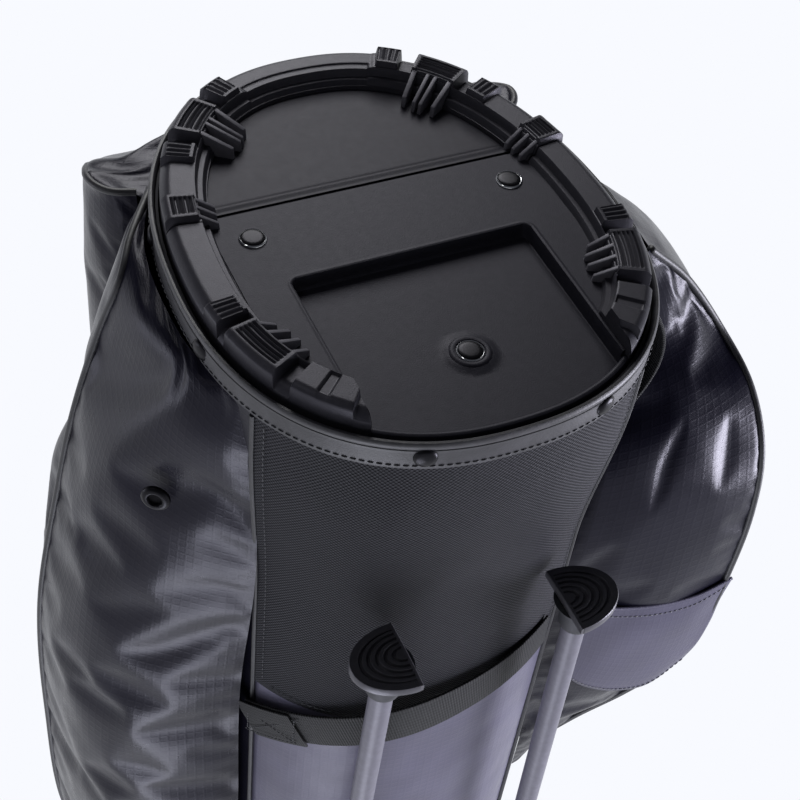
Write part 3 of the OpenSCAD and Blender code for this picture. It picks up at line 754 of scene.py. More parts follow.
def recess_depth(x, y):
    """Distance inside the recess edge, negative outside; the recess is open towards the front."""
    r = RECESS["corner"]
    dx = np.abs(x) - (RECESS["half"] - r)
    dy = y - (RECESS["rear"] - r)
    far = np.hypot(np.maximum(dx, 0), np.maximum(dy, 0)) + np.minimum(np.maximum(dx, dy), 0)
    return r - far


def plate_height(x, y):
    inside = recess_depth(x, y)
    z = FLOOR_FRONT + (RECESS_Z - FLOOR_FRONT) * smooth((inside + 0.2) / 1.9)
    z = z - 0.3 * np.exp(-((inside + 1.3) / 0.8) ** 2)
    pad = np.maximum(0, 1 - np.hypot(x, y - RECESS_RIVET_Y) / 14.0)
    z = z - 1.3 * smooth(pad * 6)
    z = z + 0.8 * smooth((y - (SLIT_Y - 3.2)) / 3) ** 2
    return z


def spaced(low, high, coarse, hot, reach_mm, fine):
    """Values from low to high, closer together near the hot spots."""
    out, x = [low], low
    while x < high:
        near = min(abs(x - h) for h in hot)
        x += fine if near < reach_mm else coarse
        out.append(min(x, high))
    return np.asarray(out)


def height_plate(name, xs, ys, height, keep, mat, thick=2.2):
    x, y = np.meshgrid(xs, ys, indexing="ij")
    z = height(x, y)
    n, m = x.shape
    verts = np.stack([x, y, z], -1).reshape(-1, 3)
    ok = keep(x, y)
    faces = []
    for i in range(n - 1):
        for j in range(m - 1):
            if ok[i, j] and ok[i + 1, j] and ok[i, j + 1] and ok[i + 1, j + 1]:
                faces.append((i * m + j, i * m + j + 1, (i + 1) * m + j + 1, (i + 1) * m + j))
    used = sorted({k for f in faces for k in f})
    index = {k: i for i, k in enumerate(used)}
    ob = solid(name, verts[used], [tuple(index[k] for k in f) for f in faces], mat, 50)
    mod = ob.modifiers.new("thick", "SOLIDIFY")
    mod.thickness, mod.offset = thick * MM, -1
    return ob


def build_plate():
    base = MATS["base"]
    half, rear = RECESS["half"], RECESS["rear"]
    xs = spaced(-108, 108, 2.2, (-half, half, 0, -RIVET_X, RIVET_X), 6, 0.4)
    ys = spaced(-146, SLIT_Y - 1.0, 2.4, (rear, RECESS_RIVET_Y, RIVET_Y, SLIT_Y), 6, 0.4)
    def keep(x, y):
        deep = inset_of(x, y)
        return np.where(recess_depth(x, y) > -6, deep > 2.6, deep > 8) & (np.abs(x) < 96)
    plate = height_plate("plate_face", xs, ys, plate_height, keep, base)
    section = [(0.2, 20), (-0.1, 11), (0.3, 9.6), (1.3, 9.0), (2.5, 9.1), (3.4, 9.9), (4.1, 12.5),
               (4.9, 15.2), (5.2, 17), (3, 20)]
    degs = np.arange(-119.5, -60.5, 0.5)
    p = np.stack([edge(degs, d, z) for d, z in section], 1)
    lip = outward(grid("plate_lip", p, base, ring=True, caps=True))
    plate = join("base_plate_moulding", [plate, lip])
    place(plate, "plate", "moulded_black", "base_plate")


def rear_height(x, y):
    strip = band(y, 20, SLIT_Y + 7.5, 1.6)
    z = FLOOR_REAR - 2.4 * strip * smooth((SLIT_Y + 9.5 - y) / 8)
    return z + 0.25 * np.exp(-((y - SLIT_Y - 9.5) / 1.0) ** 2)


def build_rear_floor():
    smooth_mat = MATS["smooth"]
    xs = spaced(-112, 112, 2.2, (-96, 96), 3, 1.0)
    ys = spaced(SLIT_Y + 1.0, 145, 2.4, (SLIT_Y, SLIT_Y + 8), 6, 0.6)
    floor = height_plate("rear_face", xs, ys, rear_height, lambda x, y: inset_of(x, y) > 9, smooth_mat)
    parts = [floor]
    for s in (-1, 1):
        ys2 = spaced(23.5, SLIT_Y + 1.2, 1.5, (24,), 4, 0.8)
        xs2 = spaced(min(s * 94, s * 113), max(s * 94, s * 113), 1.2, (s * 94,), 3, 0.6)
        parts.append(height_plate(f"rear_ear{s}", xs2, ys2, lambda x, y: 8.2 + 0 * x,
                                  lambda x, y: inset_of(x, y) > 6, smooth_mat))
    degs = np.arange(0, 360, 1.0)
    section = [(0.6, 24), (0.5, 9), (2.6, 9), (2.6, 24)]
    p = np.stack([edge(degs, d, z) for d, z in section], 1)
    keep = (degs > 11.5) & (degs < 168.5)
    wall_part = outward(grid("rear_wall", p[keep], smooth_mat, ring=True, caps=True, sharp=35))
    parts.append(wall_part)
    # a near-black strip behind the slit: painted shade standing in for the dark inside of the gap between
    # plate and rear floor
    dark = box("slit_painted_shade", (-95, SLIT_Y - 3, 12.4), (95, SLIT_Y + 3, 13), MATS["gloss"])
    rear = join("rear_floor_moulding", [*parts, dark])
    place(rear, "bag", "moulded_black", "base_rear")


def build_rivets():
    """The three domed rivets on the plate, each in a bright ring."""
    out = []
    dome = [(0.001, 1.6), (2.2, 1.59), (4.2, 1.55), (5.8, 1.4), (6.4, 1.0), (6.6, 0)]
    rim = [(6.4, 0.2), (6.5, 0.9), (6.8, 1.05), (7.2, 0.8), (7.5, 0.1), (7.6, -1.2)]
    spots = ((-RIVET_X, RIVET_Y, FLOOR_FRONT - 0.2), (RIVET_X, RIVET_Y, FLOOR_FRONT - 0.2),
             (0, RECESS_RIVET_Y, RECESS_Z - 1.2))
    for k, at in enumerate(spots):
        out.append(lathe(f"dome{k}", dome, at, (0, 0, -1), MATS["gloss"]))
        out.append(lathe(f"ring{k}", rim, at, (0, 0, -1), MATS["chrome"]))
        if k == 2:
            lip = [(7.8, -0.5), (8.0, 0.7), (9.2, 1.0), (10.6, 0.6), (11.6, -0.6)]
            out.append(lathe(f"lip{k}", lip, at, (0, 0, -1), MATS["base"]))
    place(join("plate_rivets_domed", out), "plate", "rivet_black", "plate_rivets")


# ---------------------------------------------------------------- trim, skins, webbing
def build_trim():
    degs = np.arange(0, 360, 0.75)
    section = [(1.9, 25), (1.9, 10), (2.2, 8.6), (3.0, 7.9), (4.1, 8.0), (4.9, 8.9), (5.1, 10.2),
               (4.8, 11.6), (4.35, 12.6), (4.45, 15), (4.6, 19), (4.7, 23), (4.6, 25.4), (4.0, 26.3),
               (3.0, 26.2)]
    p = np.stack([wall(degs, z, off) for off, z in section], 1)
    strip = outward(grid("trim", p, MATS["trim"], around=True, ring=True))
    path = wall(np.arange(0, 360.5, 0.5), 23.2, 4.85)
    norm = unit(path * [1, 1, 0])
    thread = stitches("trim_thread", path, norm, 4.2, 3.0, 0.36)
    fold = wall(np.arange(0, 360, 1.0), 12.9, 4.3)
    groove = tube("trim_fold", fold, 0.55, MATS["piping"], 6, True)
    place(join("trim_band_leather", [strip, groove]), "bag", "trim_leather", "trim_band")
    place(thread, "bag", "trim_leather")
    studs = []
    for k, deg in enumerate((-108.5, -71.5, -20, 20, 70, 110, 160, 200)):
        at = wall(deg, 17.6, 4.7)
        out = unit((wall(deg, 17.6, 8) - at))
        head = [(0.001, 2.0), (3.0, 1.85), (4.6, 1.35), (5.6, 0.6), (6.0, -0.2), (6.0, -0.8)]
        studs.append(lathe(f"stud{k}", head, at, out, MATS["gloss"], 40))
    place(join("trim_studs", studs), "bag", "rivet_black", "trim_rivets")


def ripple(p, size, depth, seed):
    """Small uneven folds: how far out a cloth stands at each point."""
    flat = p.reshape(-1, 3)
    spots = [Vector((q[0] / size + seed, q[1] / size, q[2] / (size * 1.5))) for q in flat]
    out = [noise.fractal(spot, 0.8, 2.0, 3) for spot in spots]
    return depth * np.asarray(out).reshape(p.shape[:-1])


def skin(name, a0, a1, z0, z1, off, mat, depth, thick, seed):
    degs = np.linspace(a0, a1, max(8, int(abs(a1 - a0) / 1.6)))
    zs = np.linspace(z0, z1, max(8, int((z1 - z0) / 5)))
    p = wall(degs[:, None], zs[None], off)
    edge_fade = (smooth(np.minimum(np.arange(len(degs)), np.arange(len(degs))[::-1]) / 5.0)[:, None]
                 * smooth(np.minimum(zs - z0, z1 - zs) / 25)[None])
    p = wall(degs[:, None], zs[None] + 0 * p[..., 0], off + ripple(p, 45, depth, seed) * edge_fade)
    ob = grid(name, p, mat)
    if thick:
        mod = ob.modifiers.new("thick", "SOLIDIFY")
        mod.thickness, mod.offset = thick * MM, -1 if a1 > a0 else 1
    return ob


def build_skins():
    front_from = SEAM_R - 360
    boot = skin("boot_cloth", front_from - 1, SEAM_L + 1, 22, BOOT_TOP, 3.9, MATS["boot"], 0.5, 1.2, 3)
    place(boot, "bag", "boot_nylon", "boot_panel")
    front = skin("front_cloth", front_from, SEAM_L, BOOT_TOP - 8, TUBE_TOP, 3.0, MATS["panel"], 0.9, 1.0, 7)
    place(front, "bag", "front_ripstop", "front_panel")
    for name, node, a0, a1 in (("left_cloth", "left_panel", SEAM_L, 60),
                               ("spine_cloth", "spine_panel", 60, 120),
                               ("right_cloth", "right_panel", 120, SEAM_R)):
        side = skin(name, a0, a1, 22, TUBE_TOP, 2.9, MATS["skin"], 0.5, 1.0, a0)
        place(side, "bag", "coated_ripstop", node)
    rows, tapes = [], []
    for deg, shift in ((SEAM_L, 1), (SEAM_R, -1)):
        zs = np.arange(27, TUBE_TOP - 4, 3.0)
        path = wall(deg + shift * 0.6, zs, 3.9)
        tapes.append(tube(f"seam{deg}", path, 1.5, MATS["piping"], 8))
        low = wall(deg - shift * 2.6, np.arange(30, BOOT_TOP - 4, 3.0), 4.3)
        rows.append(stitches(f"seam_thread{deg}", low, unit(low * [1, 1, 0]), 4.2, 2.8, 0.32))
    across = wall(np.arange(SEAM_R - 360 + 3, SEAM_L - 3, 1.0), BOOT_TOP - 5, 4.5)
    rows.append(stitches("boot_thread", across, unit(across * [1, 1, 0]), 4.2, 2.8, 0.32))
    place(join("seam_piping", tapes), "bag", "coated_ripstop")
    place(join("seam_stitches", rows), "bag", "boot_nylon")


def build_webbing():
    web = MATS["webbing"]
    degs = np.linspace(SEAM_R - 360 + 5.5, SEAM_L - 1.5, 60)
    f = (degs - degs[0]) / (degs[-1] - degs[0])
    def rise(f):
        return 250 + 22 * f + 36 * f**2.4
    path = wall(degs, rise(f), 5.8 + 4.5 * np.sin(math.pi * f) ** 2)
    strap = sweep("web", path, unit(path * [1, 1, 0]), bar(1.7, 32, 0.6), web, sharp=30)
    tab_deg = np.linspace(SEAM_L - 14, SEAM_L + 1.5, 16)
    g = (tab_deg - degs[0]) / (degs[-1] - degs[0])
    tab_path = wall(tab_deg, rise(g) + 1, 7.7 + 4.5 * np.sin(math.pi * np.clip(g, 0, 1)) ** 2)
    tab = sweep("web_tab", tab_path, unit(tab_path * [1, 1, 0]), bar(1.5, 33, 0.6), web, sharp=30)
    lines = []
    n = unit(tab_path * [1, 1, 0])
    up = np.array([0, 0, 1.0])
    for k, (s0, s1) in enumerate(((13, 13), (-13, -13), (13, -13), (-13, 13))):
        s = np.linspace(s0, s1, len(tab_path))
        lines.append(stitches(f"web_x{k}", tab_path + n * 0.9 + up * s[:, None], n, 3.0, 2.2, 0.35))
    for k, row in enumerate((1, -2)):
        s = np.linspace(-13, 13, 20)
        col = tab_path[row] + n[row] * 0.9 + up * s[:, None]
        lines.append(stitches(f"web_e{k}", col, n[row], 3.0, 2.2, 0.35))
    place(join("webbing_grab_handle", [strap, tab]), "bag", "webbing_black", "webbing_handle")
    place(join("webbing_stitches", lines), "bag", "webbing_black")

    s = np.linspace(0, 1, 34)
    bow = np.stack([-114.6 - 16.5 * np.sin(math.pi * s) ** 0.8, np.full_like(s, -75), 30 + 82 * s], -1)
    bow[:, 0] = np.minimum(bow[:, 0], wall(212.5, bow[:, 2], 4.2)[:, 0] - 1)
    tang = unit(np.gradient(bow, axis=0))
    norm = np.cross(tang, [0, 1.0, 0])
    loop = sweep("side_loop", bow, norm, bar(2.0, 22, 0.6), web, sharp=30)
    place(loop, "bag", "webbing_black", "webbing_loop")


# ---------------------------------------------------------------- pockets
def even(p, axis):
    """Spread the points evenly along one direction of a sheet."""
    p = np.moveaxis(p, axis, 0)
    n = p.shape[0]
    out = np.empty_like(p)
    for k in range(p.shape[1]):
        out[:, k] = spread(p[:, k], n)
    return np.moveaxis(out, 0, axis)


def puff(items, pressure=2.2, shrink=-0.012, cap=7.0, frames=20):
    """Let cloth swell and wrinkle between its seams. items are (object, pin weights per vertex)."""
    rest = {}
    for ob, pins in items:
        group = ob.vertex_groups.new(name="pin")
        for i, w in enumerate(pins):
            if w > 0:
                group.add([i], float(w), "REPLACE")
        mod = ob.modifiers.new("cloth", "CLOTH")
        s = mod.settings
        s.vertex_group_mass = "pin"
        s.quality = 6
        s.mass = 0.25
        s.tension_stiffness = s.compression_stiffness = 22
        s.shear_stiffness = 8
        s.bending_stiffness = 6.0
        s.tension_damping = s.compression_damping = 8
        s.shrink_min = shrink
        s.use_pressure = True
        s.uniform_pressure_force = pressure
        s.effector_weights.gravity = 0
        mod.collision_settings.use_collision = False
        mod.point_cache.frame_start, mod.point_cache.frame_end = 1, frames
        rest[ob.name] = np.array([v.co for v in ob.data.vertices])
    scene = bpy.context.scene
    for f in range(1, frames + 1):
        scene.frame_set(f)
    depsgraph = bpy.context.evaluated_depsgraph_get()
    for ob, _pins in items:
        ev = ob.evaluated_get(depsgraph)
        new = np.array([v.co for v in ev.data.vertices])
        move = new - rest[ob.name]
        size = np.linalg.norm(move, axis=1, keepdims=True)
        limit = cap * MM
        move *= np.where(size > limit, limit / np.maximum(size, 1e-9), 1)
        ob.modifiers.remove(ob.modifiers["cloth"])
        ob.data.vertices.foreach_set("co", (rest[ob.name] + move).ravel())
        ob.data.update()
    scene.frame_set(1)


def pinned(shape):
    """Pin weights of a sheet: 1 on its border."""
    w = np.zeros(shape)
    w[0] = w[-1] = 1
    w[:, 0] = w[:, -1] = 1
    return w.ravel()


ZIP_N = np.array([math.cos(math.radians(61.7)), math.sin(math.radians(61.7)), 0])
ZIP_T = np.array([-ZIP_N[1], ZIP_N[0], 0])
ZIP_AT = np.array([165.6, 63.3, 0])
ZIP_SPAN = (220.0, 548.0)

LEFT_ROWS = [  # seam, three points on the face, the piped edge
    [(110, -82, 27.5), (119, -60, 27), (127, -18, 26), (125, 38, 23), (107, 84, 22)],
    [(109, -83, 31), (118, -69, 30.5), (129, -44, 29), (134, 0, 26), (129, 50, 22.5)],
    [(109, -83, 38), (119, -71, 38), (131, -50, 37), (140, -10, 33), (141, 30, 31)],
    [(108, -84, 60), (124, -73, 60), (139, -54, 60), (150, -18, 62), (154, 30, 64)],
    [(107, -84, 112), (130, -68, 112), (151, -50, 112), (167, -18, 116), (172, 30, 121)],
    [(107, -83, 176), (140, -69, 176), (165, -45, 176), (180, -12, 177), (185, 30, 178)],
    [(113, -79, 286), (150, -74, 286), (182, -50, 288), (200, -12, 289), (206, 30, 290)],
    [(113, -79, 420), (152, -77, 420), (187, -53, 420), (206, -12, 420), (212, 33, 420)],
    [(113, -79, 555), (150, -75, 556), (184, -51, 558), (205, -10, 560), (210, 33, 560)],
    [(113, -79, 612), (140, -69, 613), (166, -47, 615), (183, -8, 618), (186, 33, 618)],
    [(112, -77, 650), (117, -64, 651), (120, -43, 652), (122, -6, 652), (121, 33, 652)],
]
RIGHT_PIPE = [(-138, -44, 28), (-172, -42, 62), (-203, -50, 105), (-213, -80, 130), (-214, -106, 162),
              (-213, -118, 210), (-210, -122, 268), (-204, -124, 318), (-192, -123, 360), (-168, -114, 398),
              (-142, -101, 436), (-116, -88, 480)]
RIGHT_SEAM = [(200, 27.5), (201, 50), (203, 85), (212, 118), (224, 150), (231, 200), (232, 266), (232, 316),
              (232, 356), (231, 392), (230, 432), (227, 478)]


def back_rows(pipe, side, seam_deg, top):
    """Rows from the piped edge round the outside, over the zip, to the seam beside the spine."""
    rows = []
    last = pipe[-1][2]
    for x, y, z in pipe:
        x = abs(x)
        late = max(0.0, (z - 290) / (last - 290))
        rear_z = z + (top - last) * late
        wide = x + (212 - 90 * late**2 - x) * smooth(late * 4) if last < 600 and late < 0.97 else x
        end = wall(seam_deg, rear_z, 4.5)
        f = smooth((rear_z - 120) / 110) * smooth((598 - rear_z) / 46)
        flat = [ZIP_AT - ZIP_T * 34, ZIP_AT - ZIP_T * 9, ZIP_AT + ZIP_T * 9, ZIP_AT + ZIP_T * 34]
        gap = min(14.0, 0.4 * max(abs(x - end[0]), 4))
        first = np.array([x + 1, max(y + gap, min(30.0, y + 40)), z])
        lean = [first * (1 - t) + end * t for t in (0.2, 0.42, 0.62, 0.84)]
        mid = [q * f + w * (1 - f) for q, w in zip(flat, lean)]
        row = [(x, y, z)]
        if y < 20:
            row += [((x + wide) / 2 + 2.5, y + (24 - y) * 0.5, (z + rear_z) / 2), (wide + 1, 24, rear_z)]
        row += [(q[0], q[1], rear_z) for q in mid] + [(end[0], end[1], rear_z)]
        rows.append([clear_of_tube((side * q[0], q[1], q[2])) for q in row])
    return rows


def clear_of_tube(point, room=5.2):
    """Move a point out to where it stands clear of the bag's side panels."""
    x, y, z = point
    limit = wall(math.degrees(math.atan2(y, x)), z, room)
    f = math.hypot(limit[0], limit[1]) / max(math.hypot(x, y), 1.0)
    return (x * f, y * f, z) if f > 1 else (x, y, z)


def sheet_from(rows, across, down):
    """A sheet through rows that may have different numbers of points."""
    rows = [spread(curve(row, across * 6), across) for row in rows]
    cols = [curve([r[i] for r in rows], down) for i in range(across)]
    return even(np.stack(cols, 0), 1)


def zip_pins(p, side):
    """Pin what lies under the zip's tape, and set it flat there."""
    at = ZIP_AT * [side, 1, 1]
    t = ZIP_T * [side, 1, 1]
    n = ZIP_N * [side, 1, 1]
    rel = p - at
    along = (rel * t).sum(-1)
    near = (np.abs(along) < 10) & (p[..., 2] > ZIP_SPAN[0] - 6) & (p[..., 2] < ZIP_SPAN[1] + 6)
    away = (rel * [1, 1, 0] * n).sum(-1)
    p[near] -= (away[near, None] + 0.3) * n
    return near


def side_pocket(name, face_rows, pipe, side, seam_deg):
    """A side pocket's two sheets, each with its pin weights, and the edge where they meet."""
    face_p = sheet_from(face_rows, 44, 116)
    back_p = sheet_from(back_rows(pipe, side, seam_deg, BACK_TOP[side]), 40, 116)
    near = zip_pins(back_p, side)
    face = grid(name + "_face", face_p, MATS["coated"])
    back = grid(name + "_side", back_p, MATS["coated"])
    for ob in (face, back):
        turn_out(ob, (side * 150, 0, 300))
    back_pins = np.maximum(pinned(back_p.shape[:2]), near.ravel())
    return (face, pinned(face_p.shape[:2])), (back, back_pins), face_p[-1]


def turn_out(ob, middle):
    """Make every face look away from a point inside."""
    bm = bmesh.new()
    bm.from_mesh(ob.data)
    mid = Vector(middle) * MM
    score = sum(f.normal.dot(f.calc_center_median() - mid) for f in bm.faces)
    if score < 0:
        bmesh.ops.reverse_faces(bm, faces=bm.faces)
    bm.to_mesh(ob.data)
    bm.free()


def build_pockets():
    right_rows = []
    for (deg, z), edge_at in zip(RIGHT_SEAM, RIGHT_PIPE):
        start = wall(deg, z, 4.6)
        end = np.asarray(edge_at, float)
        bulge = np.array([0, -5.0, -3.0]) if z < 200 else np.array([0, -3.0, 0])
        between = [start + (end - start) * t + bulge * math.sin(math.pi * t) for t in (0.3, 0.6)]
        right_rows.append([start, *between, end])
    made = []
    for name, rows, pipe, side, deg, node in (
            ("left_pocket_cloth", LEFT_ROWS, [r[-1] for r in LEFT_ROWS], 1, 38, "left_pocket"),
            ("right_pocket_cloth", right_rows, RIGHT_PIPE, -1, 142, "right_pocket")):
        made.append((name, node, *side_pocket(name, rows, pipe, side, deg)))
    ball, ball_pins, ball_edges = ball_cloth()
    puff([(ball, ball_pins)] + [sheet for pocket in made for sheet in pocket[2:4]])
    for name, node, (face, _), (back, _), border in made:
        subdivide(face)
        subdivide(back)
        edging = tube(name + "_piping", resample(border, 3.0), 2.3, MATS["piping"], 10)
        place(face, "bag", "coated_ripstop", node)
        place(back, "bag", "coated_ripstop")
        place(edging, "bag", "coated_ripstop")
    subdivide(ball)
    place(ball, "bag", "coated_ripstop", "ball_pocket")
    pipes = [tube(f"ball_pipe{k}", resample(path, 3.0), 2.2, MATS["piping"], 10)
             for k, path in enumerate(ball_edges)]
    place(join("ball_pocket_piping", pipes), "bag", "coated_ripstop")


def ball_cloth():
    """The rear pocket: one sheet from wall to wall, closed at the bottom and the top."""
    outline = ((0.84, 94), (0.94, 99), (0.99, 108), (1.0, 120), (0.95, 142), (0.86, 162), (0.76, 180),
               (0.62, 189), (0.3, 191), (0, 192))
    half = [(133 * f, y) for f, y in outline]
    around = [(-x, y) for x, y in half] + [(x, y) for x, y in reversed(half[:-1])]
    deepest = ((33, 0), (30.5, 118), (38, 134), (52, 150), (68, 164), (88, 178), (116, 192), (200, 192),
               (300, 192), (345, 190), (372, 172), (386, 150), (388, 120), (389, 0))
    rows = []
    for z, far in deepest:
        row = []
        for x, y in around:
            inner = wall(math.degrees(math.atan2(y, x)), z, 4.6)
            sewn = far == 0
            row.append((inner[0], inner[1], z) if sewn else (x, max(min(y, far), min(y, inner[1] + 1)), z))
        rows.append(row)
    p = sheet_from(rows, 90, 96)
    ob = grid("ball_pocket_cloth", p, MATS["coated"])
    turn_out(ob, (0, 140, 200))
    pins = pinned(p.shape[:2])
    zipped = (np.abs(p[..., 2] - BALL_ZIP_Z) < 10) & (np.abs(p[..., 0]) < BALL_ZIP_X + 8)
    q = p.copy()
    q[zipped, 1] = BALL_FACE - 0.1
    ob.data.vertices.foreach_set("co", ((q + [0, 0, LIFT]) * MM).reshape(-1))
    pins = np.maximum(pins, zipped.ravel())
    ring = [(112, 94, 31), (125, 99, 31), (132, 108, 31), (133, 120, 33), (126, 141, 45), (114, 161, 66),
            (99, 174, 84), (80, 179, 92), (40, 180, 94)]
    low = curve(ring + [(0, 180, 94)] + [(-x, y, z) for x, y, z in reversed(ring)], 180)
    corners = []
    for side in (-1, 1):
        corner = ((126, 141, 45), (125, 144, 90), (125, 145, 200), (125, 144, 330), (124, 140, 384))
        corners.append(curve([(side * x, y, z) for x, y, z in corner], 120))
    return ob, pins, [low, *corners]


# ---------------------------------------------------------------- legs
def leg_frame(side):
    """The leg's own axes at its foot end: point, outward, along the foot's edge, and up the tube."""
    tilt = math.atan2(PIVOT_X - FOOT_X, PIVOT_Z - 172)
    length = (PIVOT_Z - 166) / math.cos(tilt)
    up = np.array([side * math.sin(tilt), 0, math.cos(tilt)])
    out = np.array([side * math.cos(tilt), 0, -math.sin(tilt)])
    foot_at = np.array([side * PIVOT_X, LEG_Y, PIVOT_Z]) - up * length
    return foot_at, out, np.array([0, side * 1.0, 0]), up


def foot_tread(side, radius=21.0, back=-10.0, thick=6.0, deep=31.0):
    """A half round rubber foot with curved ridges round the middle of its straight edge."""
    at, out, along, up = leg_frame(side)
    rs = np.concatenate([np.arange(0, radius - 1.0, 0.3), radius - np.array([0.8, 0.4, 0.1, 0, 0])])
    ths = np.linspace(-90, 90, 73)
    groove = np.zeros_like(rs)
    for r0 in (4.2, 7.4, 10.6, 13.8, 17.0):
        groove += 1.7 * np.exp(-((rs - r0) / 0.62) ** 4)
    crown = 0.9 * (rs / radius) ** 2
    z = groove * (rs < radius - 1.6) + crown
    z[-4:-1] += [0.1, 0.4, 0.9]
    z[-1] = thick
    th = np.radians(ths)[:, None]
    x = back + rs[None] * np.cos(th) * deep / radius
    y = rs[None] * np.sin(th)
    p = at + x[..., None] * out + y[..., None] * along + (0 * th + z[None])[..., None] * up
    tread = grid(f"tread{side}", p, MATS["rubber"], sharp=50)
    flat = []
    for f, zz in ((0.0, 0), (1.5, 0.2), (2.0, 0.9), (2.0, thick - 0.6), (1.5, thick), (0, thick)):
        s = np.linspace(-radius, radius, 41)
        lift = 0.9 * (s / radius) ** 2 * (zz < 1)
        flat.append(at + (back - f) * out + s[:, None] * along + (zz + lift)[:, None] * up)
    edge_part = grid(f"foot_edge{side}", np.stack(flat, 1), MATS["rubber"], ring=True, caps=True, sharp=40)
    def arc(r, across, height, angles):
        """An arc of the half round outline: r deep, across to each side, height up the leg."""
        return np.stack([at + (back + r * math.cos(t)) * out + across * math.sin(t) * along + height * up
                         for t in np.radians(angles)])
    rim_path = arc(deep - 0.2, radius - 0.2, 3.4, np.linspace(-90, 90, 60))
    section = [(-4, -3.0), (0.0, -3.0), (0.5, -2.4), (0.5, 1.9), (0.1, 2.6), (-4, 2.6)]
    normals = unit(rim_path - (at + back * out + 3.4 * up))
    rim = sweep(f"foot_rim{side}", rim_path, normals, section, MATS["rubber"], sharp=40)
    plate = [arc(r * deep / radius, r, thick - 0.1, ths) for r in np.linspace(0, radius - 0.5, 8)]
    back_face = grid(f"foot_back{side}", np.stack(plate, 1), MATS["rubber"])
    return [outward(tread), outward(edge_part), rim, outward(back_face)]


def build_legs():
    for side, word in ((1, "left"), (-1, "right")):
        body = f"{word}_leg"
        at, _, _, up = leg_frame(side)
        place(join(f"foot_{word}_tread", foot_tread(side)), body, "rubber_black", f"foot_{word}")
        profile = [(7.0, 29), (9.3, 28.6), (9.9, 27.6), (10.2, 24), (10.6, 16), (11.6, 11), (13.6, 8),
                   (15.5, 6.6), (15.6, 5.8), (0.001, 5.8)]
        boot = lathe(f"leg_socket_{word}", profile, at, up, MATS["leg_socket"])
        place(boot, body, "rubber_black", f"leg_boot_{word}")


def build_hood():
    """The flap on the front of the right pocket, open towards the base."""
    mouth = [(-97, -121, 250), (-125, -123.5, 262), (-155, -125.5, 271), (-185, -126, 275),
             (-214, -123.5, 273)]
    rows = [mouth,
            [(-97, -121, 273), (-125, -126, 285), (-155, -129, 294), (-184, -128.5, 298), (-210, -124, 294)],
            [(-97, -121, 298), (-122, -126, 312), (-152, -129, 324), (-182, -129, 326), (-207, -126, 314)],
            [(-97, -121, 316), (-118, -125, 338), (-146, -127.5, 354), (-175, -128.5, 356),
             (-202, -127, 338)],
            [(-97, -121, 326), (-116, -124, 347), (-142, -126, 365), (-170, -127, 372), (-195, -126, 356)]]
    p = sheet_from(rows, 60, 40)
    ob = grid("hood_flap", p, MATS["hood"])
    mod = ob.modifiers.new("thick", "SOLIDIFY")
    mod.thickness, mod.offset = 1.1 * MM, 0
    place(ob, "bag", "coated_ripstop", "hood_pocket")
    n = np.array([0, -1.0, 0])
    hem = resample(p[:, 0], 3.0)
    lip = tube("hood_lip", hem, 1.2, MATS["hood"], 8)
    rows = [stitches("hem_a", resample(p[:, 3], 2.0), n, 4.0, 2.8, 0.3, 0.8),
            stitches("hem_b", resample(p[:, -2], 2.0), n, 4.0, 2.8, 0.3, 0.8)]
    place(join("hood_stitches", rows), "bag", "coated_ripstop")
    place(lip, "bag", "coated_ripstop")


def build_eyelet():
    at, out = np.array([151.2, -52.0, 111.0]), np.array([0.6, -0.79, -0.1])
    ring = [(3.6, -1.5), (3.7, 1.2), (4.4, 2.1), (5.6, 2.3), (7.0, 1.8), (8.0, 0.7), (8.1, -0.8)]
    hole_shade_disc = [(3.8, 0.2), (0.001, 0.2)]
    # the hole is a near-black matte disc: painted shade in place of the dark inside of the pocket
    parts = [lathe("eyelet_ring", ring, at + out * 1.5, out, MATS["gloss"]),
             lathe("eyelet_hole_shade", hole_shade_disc, at + out * 1.5, out, MATS["hole_shade_disc"])]
    place(join("eyelet_ring_set", parts), "bag", "rivet_black", "eyelet")


# ---------------------------------------------------------------- straps, zips and plain parts
def build_straps():
    for x, word in ((45, "left"), (-45, "right")):
        s = np.linspace(0, 1, 60)
        y = 140.5 + 37.5 * np.sin(math.pi * s) ** 0.75
        path = np.stack([np.full_like(s, x), y, 418 + 374 * s], -1)
        tang = unit(np.gradient(path, axis=0))
        norm = np.cross([1.0, 0, 0], tang)
        sections = []
        for f in s:
            fat = 2.2 + 6.4 * math.sin(math.pi * min(max(f, 0.02), 0.98)) ** 0.5
            wide = 30 + 14 * smooth(np.array(min(f, 1 - f) / 0.22))
            k = np.linspace(0, 2 * math.pi, 28, endpoint=False)
            across = np.sign(np.cos(k)) * np.abs(np.cos(k)) ** 0.7 * float(wide) / 2
            pad = np.sign(np.sin(k)) * np.abs(np.sin(k)) ** 0.8 * fat / 2
            quilt = 1 - 0.22 * np.exp(-((across / 2.2) ** 2))
            sections.append(np.stack([pad * quilt, across], -1))
        ob = sweep(f"shoulder_strap_{word}", path, norm, np.asarray(sections), MATS["foam"])
        subdivide(ob)
        place(ob, "bag", "webbing_black", f"strap_{word}")


def build_spring():
    """The return spring round the rod, built at one length; the real spring shortens as the rod rises."""
    turns, per_turn, radius, wire = 13, 20, 4.35, 0.55
    low, high, travel = 694.9, 751.1, 28.6
    t = np.linspace(0, 1, turns * per_turn)
    turn = 2 * math.pi * turns * t
    path = np.stack([radius * np.cos(turn), ROD_Y + radius * np.sin(turn), low + (high - low) * t], -1)
    coil = tube("return_spring_coil", path, wire, MATS["steel"], 6)
    place(coil, "bag", "steel", "return_spring")
    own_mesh(coil)


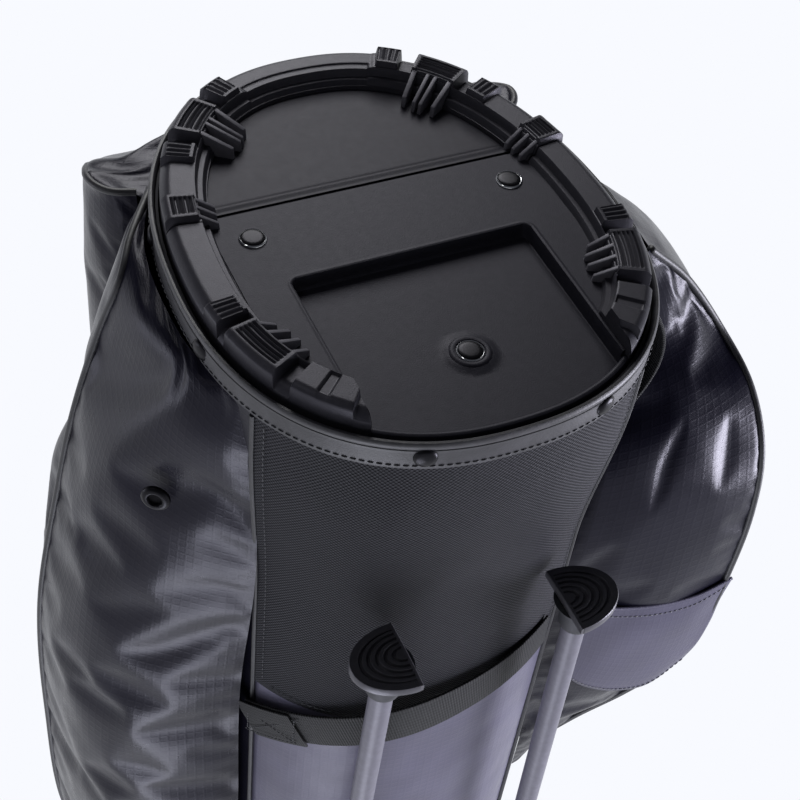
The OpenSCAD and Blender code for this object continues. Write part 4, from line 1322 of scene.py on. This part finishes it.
def zip_teeth(name, start, end, normal, count, mat):
    start, end = np.asarray(start, float), np.asarray(end, float)
    along = unit(end - start)
    across = np.cross(along, normal)
    verts, faces = [], []
    for k in range(count):
        for side in (-1, 1):
            c = start + (end - start) * ((k + 0.5 + 0.25 * side) / count) + across * side * 0.8
            base = len(verts)
            for dx in (-1.5, 1.5):
                for dy in (-0.6, 0.6):
                    for dz in (0.2, 1.5):
                        verts.append(c + across * dx + along * dy + np.asarray(normal) * dz)
            faces += [tuple(base + q for q in f) for f in HEX]
    return outward(solid(name, verts, faces, mat, 30))


def build_zips():
    for side, word in ((1, "left"), (-1, "right")):
        at, n = ZIP_AT * [side, 1, 1], ZIP_N * [side, 1, 1]
        low, high = at + n * 1.5 + [0, 0, ZIP_SPAN[0] + 2], at + n * 1.5 + [0, 0, ZIP_SPAN[1] - 2]
        place(zip_teeth(f"teeth_{word}", low, high, n, 150, MATS["zip"]), "bag", "zip_black")
    y = BALL_FACE + 1.5
    ball = zip_teeth("teeth_ball", (-BALL_ZIP_X, y, BALL_ZIP_Z), (BALL_ZIP_X, y, BALL_ZIP_Z),
                     np.array([0, 1.0, 0]), 70, MATS["zip"])
    place(ball, "bag", "zip_black")


PLAIN = {
    "lining": ("liner",), "divider": ("centre_divider", "front_divider", "rear_divider"),
    "cuff": ("cuff", "divider_frame", "top_handle", "leg_hub", "rod_guide", "strap_anchors"),
    "base": ("push_pad",), "leg": ("leg_left", "leg_right"), "rubber": ("leg_boot_left", "leg_boot_right"),
    "steel": ("hinge_pin", "pivot_left", "pivot_right", "hub_screws", "actuator_rod"),
    "zip": ("zip_left", "zip_right", "zip_ball", "slider_left", "slider_right", "slider_ball",
            "pull_left", "pull_right", "pull_ball"),
    "rod": ("stay_rods",),
}
ROUNDED = {"cuff": 2.2, "divider_frame": 1.5, "top_handle": 3.5, "leg_hub": 3.0, "strap_anchors": 2.0,
           "hub_screws": 0.5, "slider_left": 0.8, "slider_right": 0.8, "slider_ball": 0.8, "pull_left": 0.5,
           "pull_right": 0.5, "pull_ball": 0.5, "push_pad": 1.0, "rod_guide": 0.8, "centre_divider": 0.5,
           "front_divider": 0.5, "rear_divider": 0.5}


def finish_cad():
    """Materials and rounded edges on every CAD part that stays in view."""
    for mat, names in PLAIN.items():
        for name in names:
            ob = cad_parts[name]
            ob.data.materials.clear()
            ob.data.materials.append(MATS[mat])
            ob.data.shade_smooth()
            ob.data.set_sharp_from_angle(angle=math.radians(30))
            if name in ROUNDED:
                bevel(ob, ROUNDED[name], 3, 30)


# ---------------------------------------------------------------- run
MATS = make_materials()
camera_and_stage()
build_rims()
build_plate()
build_rear_floor()
build_rivets()
build_trim()
build_skins()
build_webbing()
build_pockets()
build_hood()
build_eyelet()
build_legs()
build_straps()
build_spring()
build_zips()
finish_cad()
